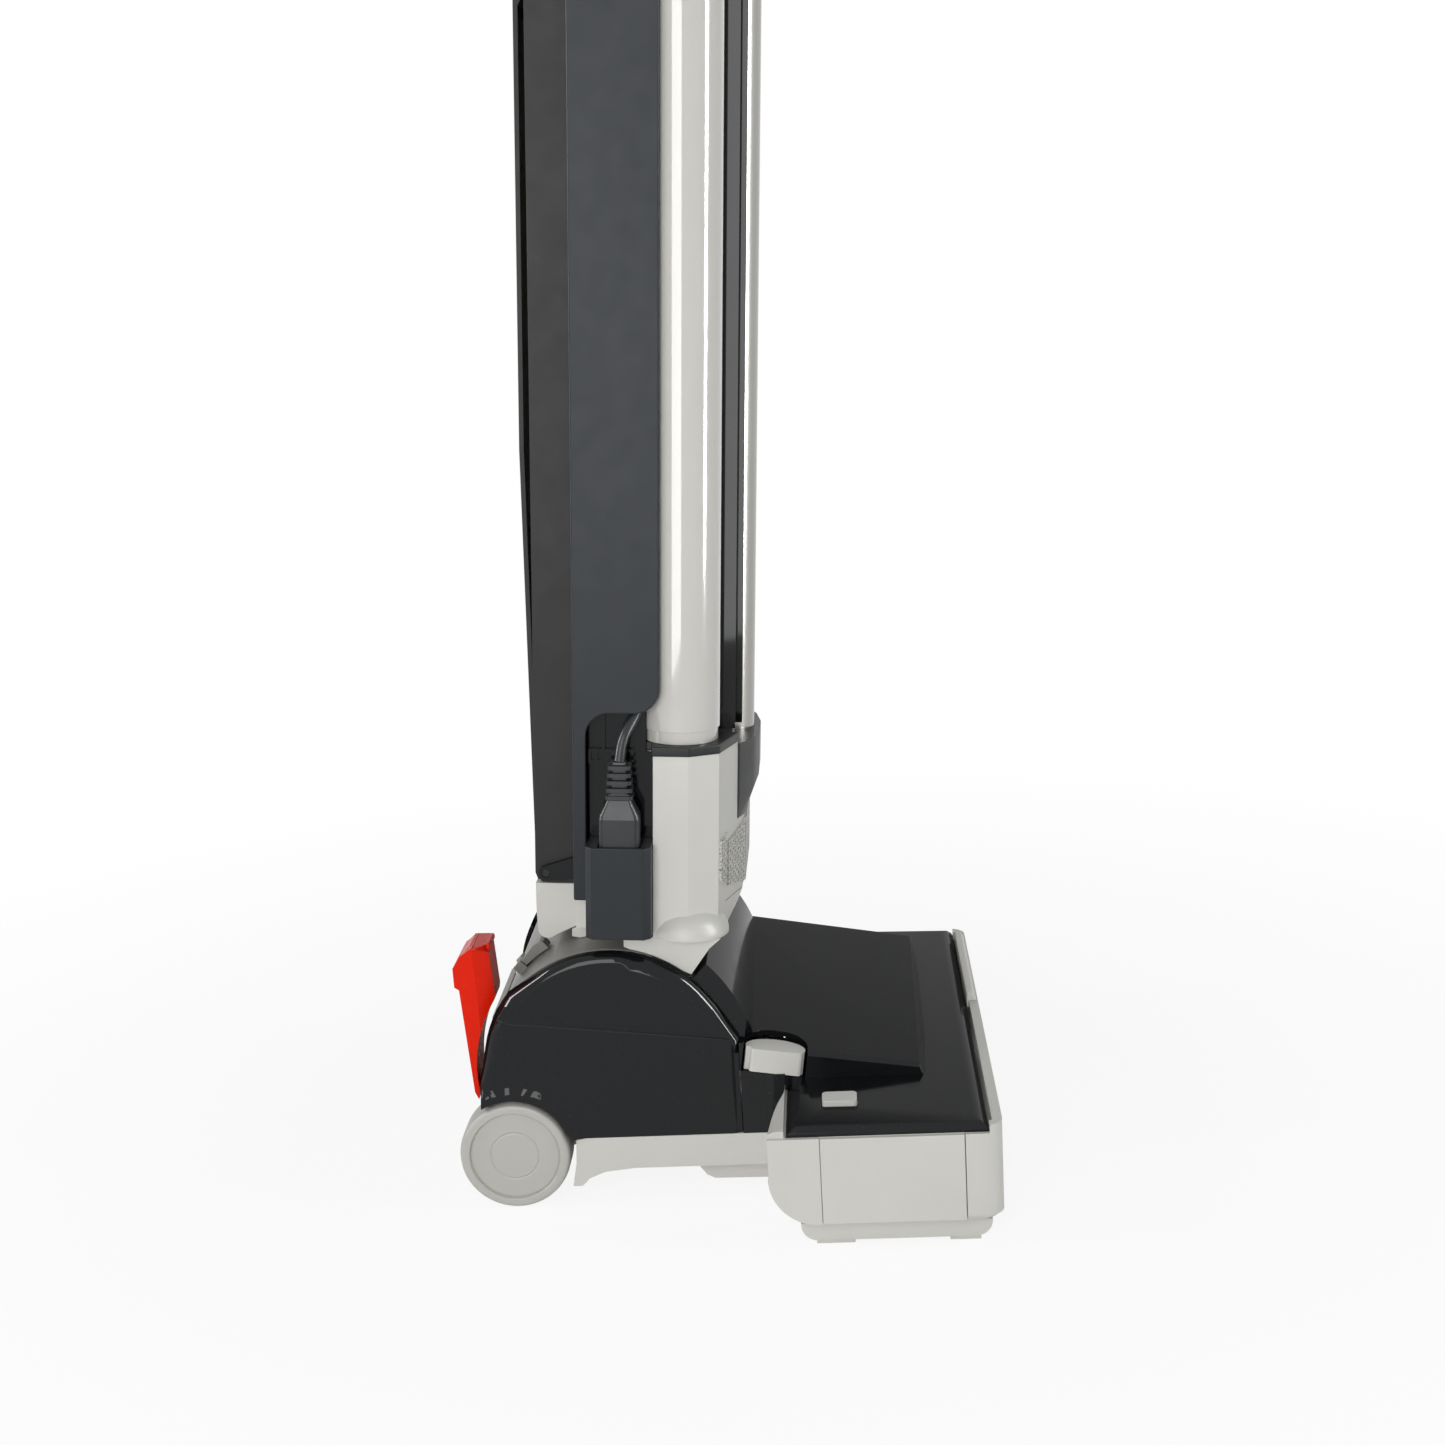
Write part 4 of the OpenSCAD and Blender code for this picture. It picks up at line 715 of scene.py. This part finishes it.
# %% A way to write finishes
class Value:
    """A socket of a node tree that can stand in a sum."""

    def __init__(self, finish, socket):
        self.finish = finish
        self.socket = socket

    def maths(self, operation, other, swapped=False):
        first, second = (other, self) if swapped else (self, other)
        return self.finish.node("ShaderNodeMath", {"operation": operation},
                                {0: first, 1: second})

    def __add__(self, other):
        return self.maths("ADD", other)

    def __rsub__(self, other):
        return self.maths("SUBTRACT", other, swapped=True)

    def __mul__(self, other):
        return self.maths("MULTIPLY", other)

    def above(self, level, softness):
        """0 below the level and 1 above it, with a soft step between."""
        return self.finish.node(
            "ShaderNodeMapRange", {"interpolation_type": "SMOOTHSTEP"},
            {"Value": self, "From Min": level - softness, "From Max": level + softness})


class Finish:
    """One material and the nodes that feed its shader."""

    def __init__(self, slot):
        self.material = bpy.data.materials.new(slot)
        self.material.use_nodes = True
        self.tree = self.material.node_tree
        self.shader = self.tree.nodes["Principled BSDF"]
        self.place = self.node("ShaderNodeTexCoord", out="Object")

    def node(self, kind, settings=None, values=None, out=0):
        """Add a node, set it up, feed its sockets and give back one of its outputs."""
        made = self.tree.nodes.new(kind)
        for key, setting in (settings or {}).items():
            setattr(made, key, setting)
        for key, value in (values or {}).items():
            self.feed(made.inputs[key], value)
        return Value(self, made.outputs[out])

    def feed(self, socket, value):
        if isinstance(value, Value):
            self.tree.links.new(value.socket, socket)
        else:
            socket.default_value = value

    def set(self, **values):
        """Feed the shader: set(Base_Color=..., Roughness=...)."""
        for key, value in values.items():
            self.feed(self.shader.inputs[key.replace("_", " ")], value)

    def cloud(self, size, detail=3.0, stretch=(1, 1, 1)):
        """Soft noise from 0 to 1 whose lumps are about size millimetres."""
        place = self.place
        if stretch != (1, 1, 1):
            place = self.node("ShaderNodeMapping", {}, {"Vector": place, "Scale": stretch})
        return self.node("ShaderNodeTexNoise", {}, {
            "Vector": place, "Scale": 1 / (size * MM), "Detail": detail})

    def between(self, amount, low, high):
        """A colour between two, by an amount from 0 to 1."""
        return self.node("ShaderNodeMix", {"data_type": "RGBA"}, {
            "Factor": amount, 6: (*low, 1), 7: (*high, 1)}, out=2)

    def relief(self, height, depth, strength=1.0):
        """A bump whose full height is depth millimetres."""
        return self.node("ShaderNodeBump", {}, {
            "Height": height, "Distance": depth * MM, "Strength": strength})


def shade(colour, amount):
    """A colour made darker or lighter."""
    return tuple(min(1.0, c * amount) for c in colour)


# %% [markdown]
# The shell has two families of plastic. The pale mouldings and the slate covers
# have a fine spark-eroded grain and a soft shine. The hood and the domes are
# polished, so they show every finger mark as a change in roughness.

# %% Plastics
GRAIN = 0.35            # size of the spark-eroded grain, in millimetres
MOTTLE = 0.05           # how far the tone drifts from its colour, as a share


def moulded(slot, colour, roughness, grain_depth=0.02, shine=0.5):
    """Grained plastic with a faint mottle and handling marks."""
    finish = Finish(slot)
    finish.shader.inputs["Specular IOR Level"].default_value = shine
    tone = finish.cloud(45)
    rub = finish.cloud(14, detail=5)
    grain = finish.cloud(GRAIN, detail=1)
    finish.set(
        Base_Color=finish.between(tone, shade(colour, 1 - MOTTLE), shade(colour, 1 + MOTTLE)),
        Roughness=rub * 0.16 + (roughness - 0.08),
        Normal=finish.relief(grain, grain_depth, 0.35))
    return finish


def polished(slot, colour, roughness, shine=0.5, coat=0.0, dulled=0.0):
    """Polished plastic: smudges, hairlines, and settled dust that dulls what faces up."""
    finish = Finish(slot)
    finish.shader.inputs["Specular IOR Level"].default_value = shine
    finish.shader.inputs["Coat Roughness"].default_value = 0.04
    smudge = finish.cloud(26, detail=4)
    hairline = finish.cloud(3, detail=2, stretch=(1, 0.06, 1)).above(0.68, 0.02)
    dust = finish.cloud(0.8, detail=2).above(0.74, 0.03)
    facing = finish.node("ShaderNodeTexCoord", out="Normal")
    upward = finish.node("ShaderNodeSeparateXYZ", {}, {0: facing}, out="Z").above(0.4, 0.2)
    sideways = finish.node("ShaderNodeSeparateXYZ", {}, {0: facing}, out="X")
    across = sideways.maths("ABSOLUTE", 0)
    settled = upward * (1 - across.above(0.45, 0.15))
    finish.set(
        Base_Color=finish.between(dust * 0.25, colour, (0.3, 0.3, 0.29)),
        Roughness=smudge.above(0.56, 0.2) * 0.10 + hairline * 0.06 + roughness,
        Coat_Weight=settled * -dulled + coat)
    return finish


finishes = {
    "light_gray_plastic": moulded("light_gray_plastic", (0.56, 0.555, 0.52), 0.42),
    "mid_gray_plastic": moulded("mid_gray_plastic", (0.18, 0.175, 0.16), 0.42),
    "gloss_black_plastic": polished("gloss_black_plastic", (0.0065, 0.0072, 0.0082), 0.12,
                                    shine=0.02, coat=0.46, dulled=0.38),
    "slate_plastic": moulded("slate_plastic", (0.022, 0.0255, 0.030), 0.36, shine=0.16),
    "door_plastic": moulded("door_plastic", (0.018, 0.019, 0.0175), 0.44, shine=0.2),
    "gloss_gray_plastic": polished("gloss_gray_plastic", (0.53, 0.522, 0.49), 0.07,
                                   shine=0.5, coat=0.9),
    "red_plastic": moulded("red_plastic", (0.68, 0.013, 0.0008), 0.26, grain_depth=0.006,
                           shine=0.12),
    "wheel_plastic": moulded("wheel_plastic", (0.43, 0.425, 0.395), 0.45),
}

# %% Metals, rubber and soft materials
def metal(slot, colour, roughness, along=(1, 1, 0.03)):
    """Metal with fine brushing along one direction."""
    finish = Finish(slot)
    brushing = finish.cloud(0.5, detail=2, stretch=along)
    cloudy = finish.cloud(30)
    finish.shader.inputs["Metallic"].default_value = 1.0
    finish.set(
        Base_Color=finish.between(cloudy, shade(colour, 0.94), colour),
        Roughness=brushing * 0.12 + (roughness - 0.06),
        Normal=finish.relief(brushing, 0.01, 0.25))
    return finish


def soft(slot, colour, roughness, thread, depth):
    """A dull fibrous surface."""
    finish = Finish(slot)
    fibre = finish.cloud(thread, detail=4)
    finish.set(
        Base_Color=finish.between(fibre, shade(colour, 0.8), shade(colour, 1.1)),
        Roughness=fibre * 0.1 + roughness,
        Normal=finish.relief(fibre, depth, 0.6))
    return finish


finishes.update({
    "chrome": metal("chrome", (0.34, 0.335, 0.315), 0.22),
    "steel": metal("steel", (0.60, 0.60, 0.59), 0.30),
    "aluminium": metal("aluminium", (0.68, 0.68, 0.68), 0.38, along=(1, 1, 1)),
    "black_rubber": moulded("black_rubber", (0.014, 0.015, 0.016), 0.40, shine=0.25),
    "cord_rubber": moulded("cord_rubber", (0.016, 0.019, 0.022), 0.30, grain_depth=0.008,
                           shine=0.35),
    "bristle": soft("bristle", (0.03, 0.03, 0.034), 0.5, 0.5, 0.05),
    "filter_fleece": soft("filter_fleece", (0.80, 0.80, 0.77), 0.85, 0.7, 0.15),
    "bag_paper": soft("bag_paper", (0.62, 0.55, 0.43), 0.75, 1.2, 0.08),
})


def paint(piece, slot):
    """Give a piece the one finish of its slot."""
    piece.data.materials.clear()
    piece.data.materials.append(finishes[slot].material)


for name, node in nodes.items():
    paint(node, SLOT_OF[name])
for piece in list(skins.values()) + own_pieces + [mains_cord]:
    paint(piece, piece["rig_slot"])
print("finishes:", len(finishes))

# %% [markdown]
# A product like this is shown on white. The floor is pale and takes a soft shadow.
# Light Path tells what a ray is for: rays from the eye, mirror rays and rays through
# glass find the floor and the sky white, and the rays that light the machine find a
# plain floor and a dim sky. So the backdrop adds no light of its own.

# %% Floor and world
def is_looked_at(tree):
    """1 for rays of the camera, of gloss and of glass, and 0 for the light itself."""
    seen = tree.nodes.new("ShaderNodeLightPath")
    answer = seen.outputs["Is Camera Ray"]
    for kind in ("Is Glossy Ray", "Is Transmission Ray"):
        either = tree.nodes.new("ShaderNodeMath")
        either.operation = "MAXIMUM"
        tree.links.new(answer, either.inputs[0])
        tree.links.new(seen.outputs[kind], either.inputs[1])
        answer = either.outputs[0]
    return answer


FLOOR_R = 25            # metres, so that its edge is never in sight
FLOOR_WHITE = 0.88      # how much of the floor beside the machine is plain white
FADE_FROM = 0.3         # metres from the middle where the white begins to grow
FADE_TO = 1.0           # and where it is full
floor_mesh = bpy.data.meshes.new("floor")
bm = bmesh.new()
bmesh.ops.create_circle(bm, cap_ends=True, radius=FLOOR_R, segments=96)
bm.to_mesh(floor_mesh)
bm.free()
floor = bpy.data.objects.new("floor", floor_mesh)
bpy.context.scene.collection.objects.link(floor)
floor_material = bpy.data.materials.new("floor")
floor_material.use_nodes = True
floor_mesh.materials.append(floor_material)
tree = floor_material.node_tree
matt = tree.nodes["Principled BSDF"]
matt.inputs["Base Color"].default_value = (0.93, 0.93, 0.93, 1)
matt.inputs["Roughness"].default_value = 0.9
matt.inputs["Specular IOR Level"].default_value = 0.0
place = tree.nodes.new("ShaderNodeTexCoord")
distance = tree.nodes.new("ShaderNodeVectorMath")
distance.operation = "LENGTH"
fade = tree.nodes.new("ShaderNodeMapRange")
for key, value in (("From Min", FADE_FROM), ("From Max", FADE_TO),
                   ("To Min", FLOOR_WHITE), ("To Max", 1.0)):
    fade.inputs[key].default_value = value
share = tree.nodes.new("ShaderNodeMath")
share.operation = "MULTIPLY"
white = tree.nodes.new("ShaderNodeEmission")
mix = tree.nodes.new("ShaderNodeMixShader")
tree.links.new(place.outputs["Object"], distance.inputs[0])
tree.links.new(distance.outputs["Value"], fade.inputs["Value"])
tree.links.new(fade.outputs["Result"], share.inputs[0])
tree.links.new(is_looked_at(tree), share.inputs[1])
tree.links.new(share.outputs[0], mix.inputs[0])
tree.links.new(matt.outputs[0], mix.inputs[1])
tree.links.new(white.outputs[0], mix.inputs[2])
tree.links.new(mix.outputs[0], tree.nodes["Material Output"].inputs["Surface"])

WORLD_LIGHT = 0.31      # strength of the sky that lights the object
world = bpy.data.worlds.new("studio")
bpy.context.scene.world = world
world.use_nodes = True
tree = world.node_tree
strength = tree.nodes.new("ShaderNodeMapRange")
strength.inputs["To Min"].default_value = WORLD_LIGHT
strength.inputs["To Max"].default_value = 1.0
tree.links.new(is_looked_at(tree), strength.inputs["Value"])
tree.links.new(strength.outputs["Result"], tree.nodes["Background"].inputs["Strength"])
tree.nodes["Background"].inputs["Color"].default_value = (1, 1, 1, 1)

# %% [markdown]
# Three soft boxes light the machine, the widest beside the camera. Polished plastic
# mirrors only a few hundredths of a lamp, so its long glints need a very bright
# source. Two lamps give those alone: they are hidden from diffuse light, and so the
# matt surfaces keep the plain level at which a colour renders as it is written.

# %% Lamps
LAMPS = {
    # name: place, height it aims at, size across and up, watts, seen by gloss alone
    "side_box": ((-1.60, 0.32, 0.66), 0.66, 0.75, 1.24, 15.5, False),
    "front_box": ((-0.50, -1.40, 0.70), 0.28, 0.06, 1.4, 5, False),
    "rear_box": ((-0.40, 1.45, 0.80), 0.28, 0.06, 1.2, 5, False),
    "front_glint": ((-0.46, -1.36, 0.66), 0.25, 0.24, 1.25, 26, True),
    "rear_glint": ((-0.30, 1.42, 0.80), 0.25, 0.22, 1.2, 20, True),
}
for name, (place, aim_z, across, upward, watts, gloss_alone) in LAMPS.items():
    lamp = bpy.data.objects.new(name, bpy.data.lights.new(name, "AREA"))
    lamp.data.shape = "RECTANGLE"
    lamp.data.size = across
    lamp.data.size_y = upward
    lamp.data.energy = watts
    lamp.visible_diffuse = not gloss_alone
    lamp.location = place
    aim = Vector((0, 0, aim_z)) - Vector(place)
    lamp.rotation_euler = aim.to_track_quat("-Z", "Y").to_euler()
    bpy.context.scene.collection.objects.link(lamp)

bpy.context.scene.view_settings.view_transform = "Standard"
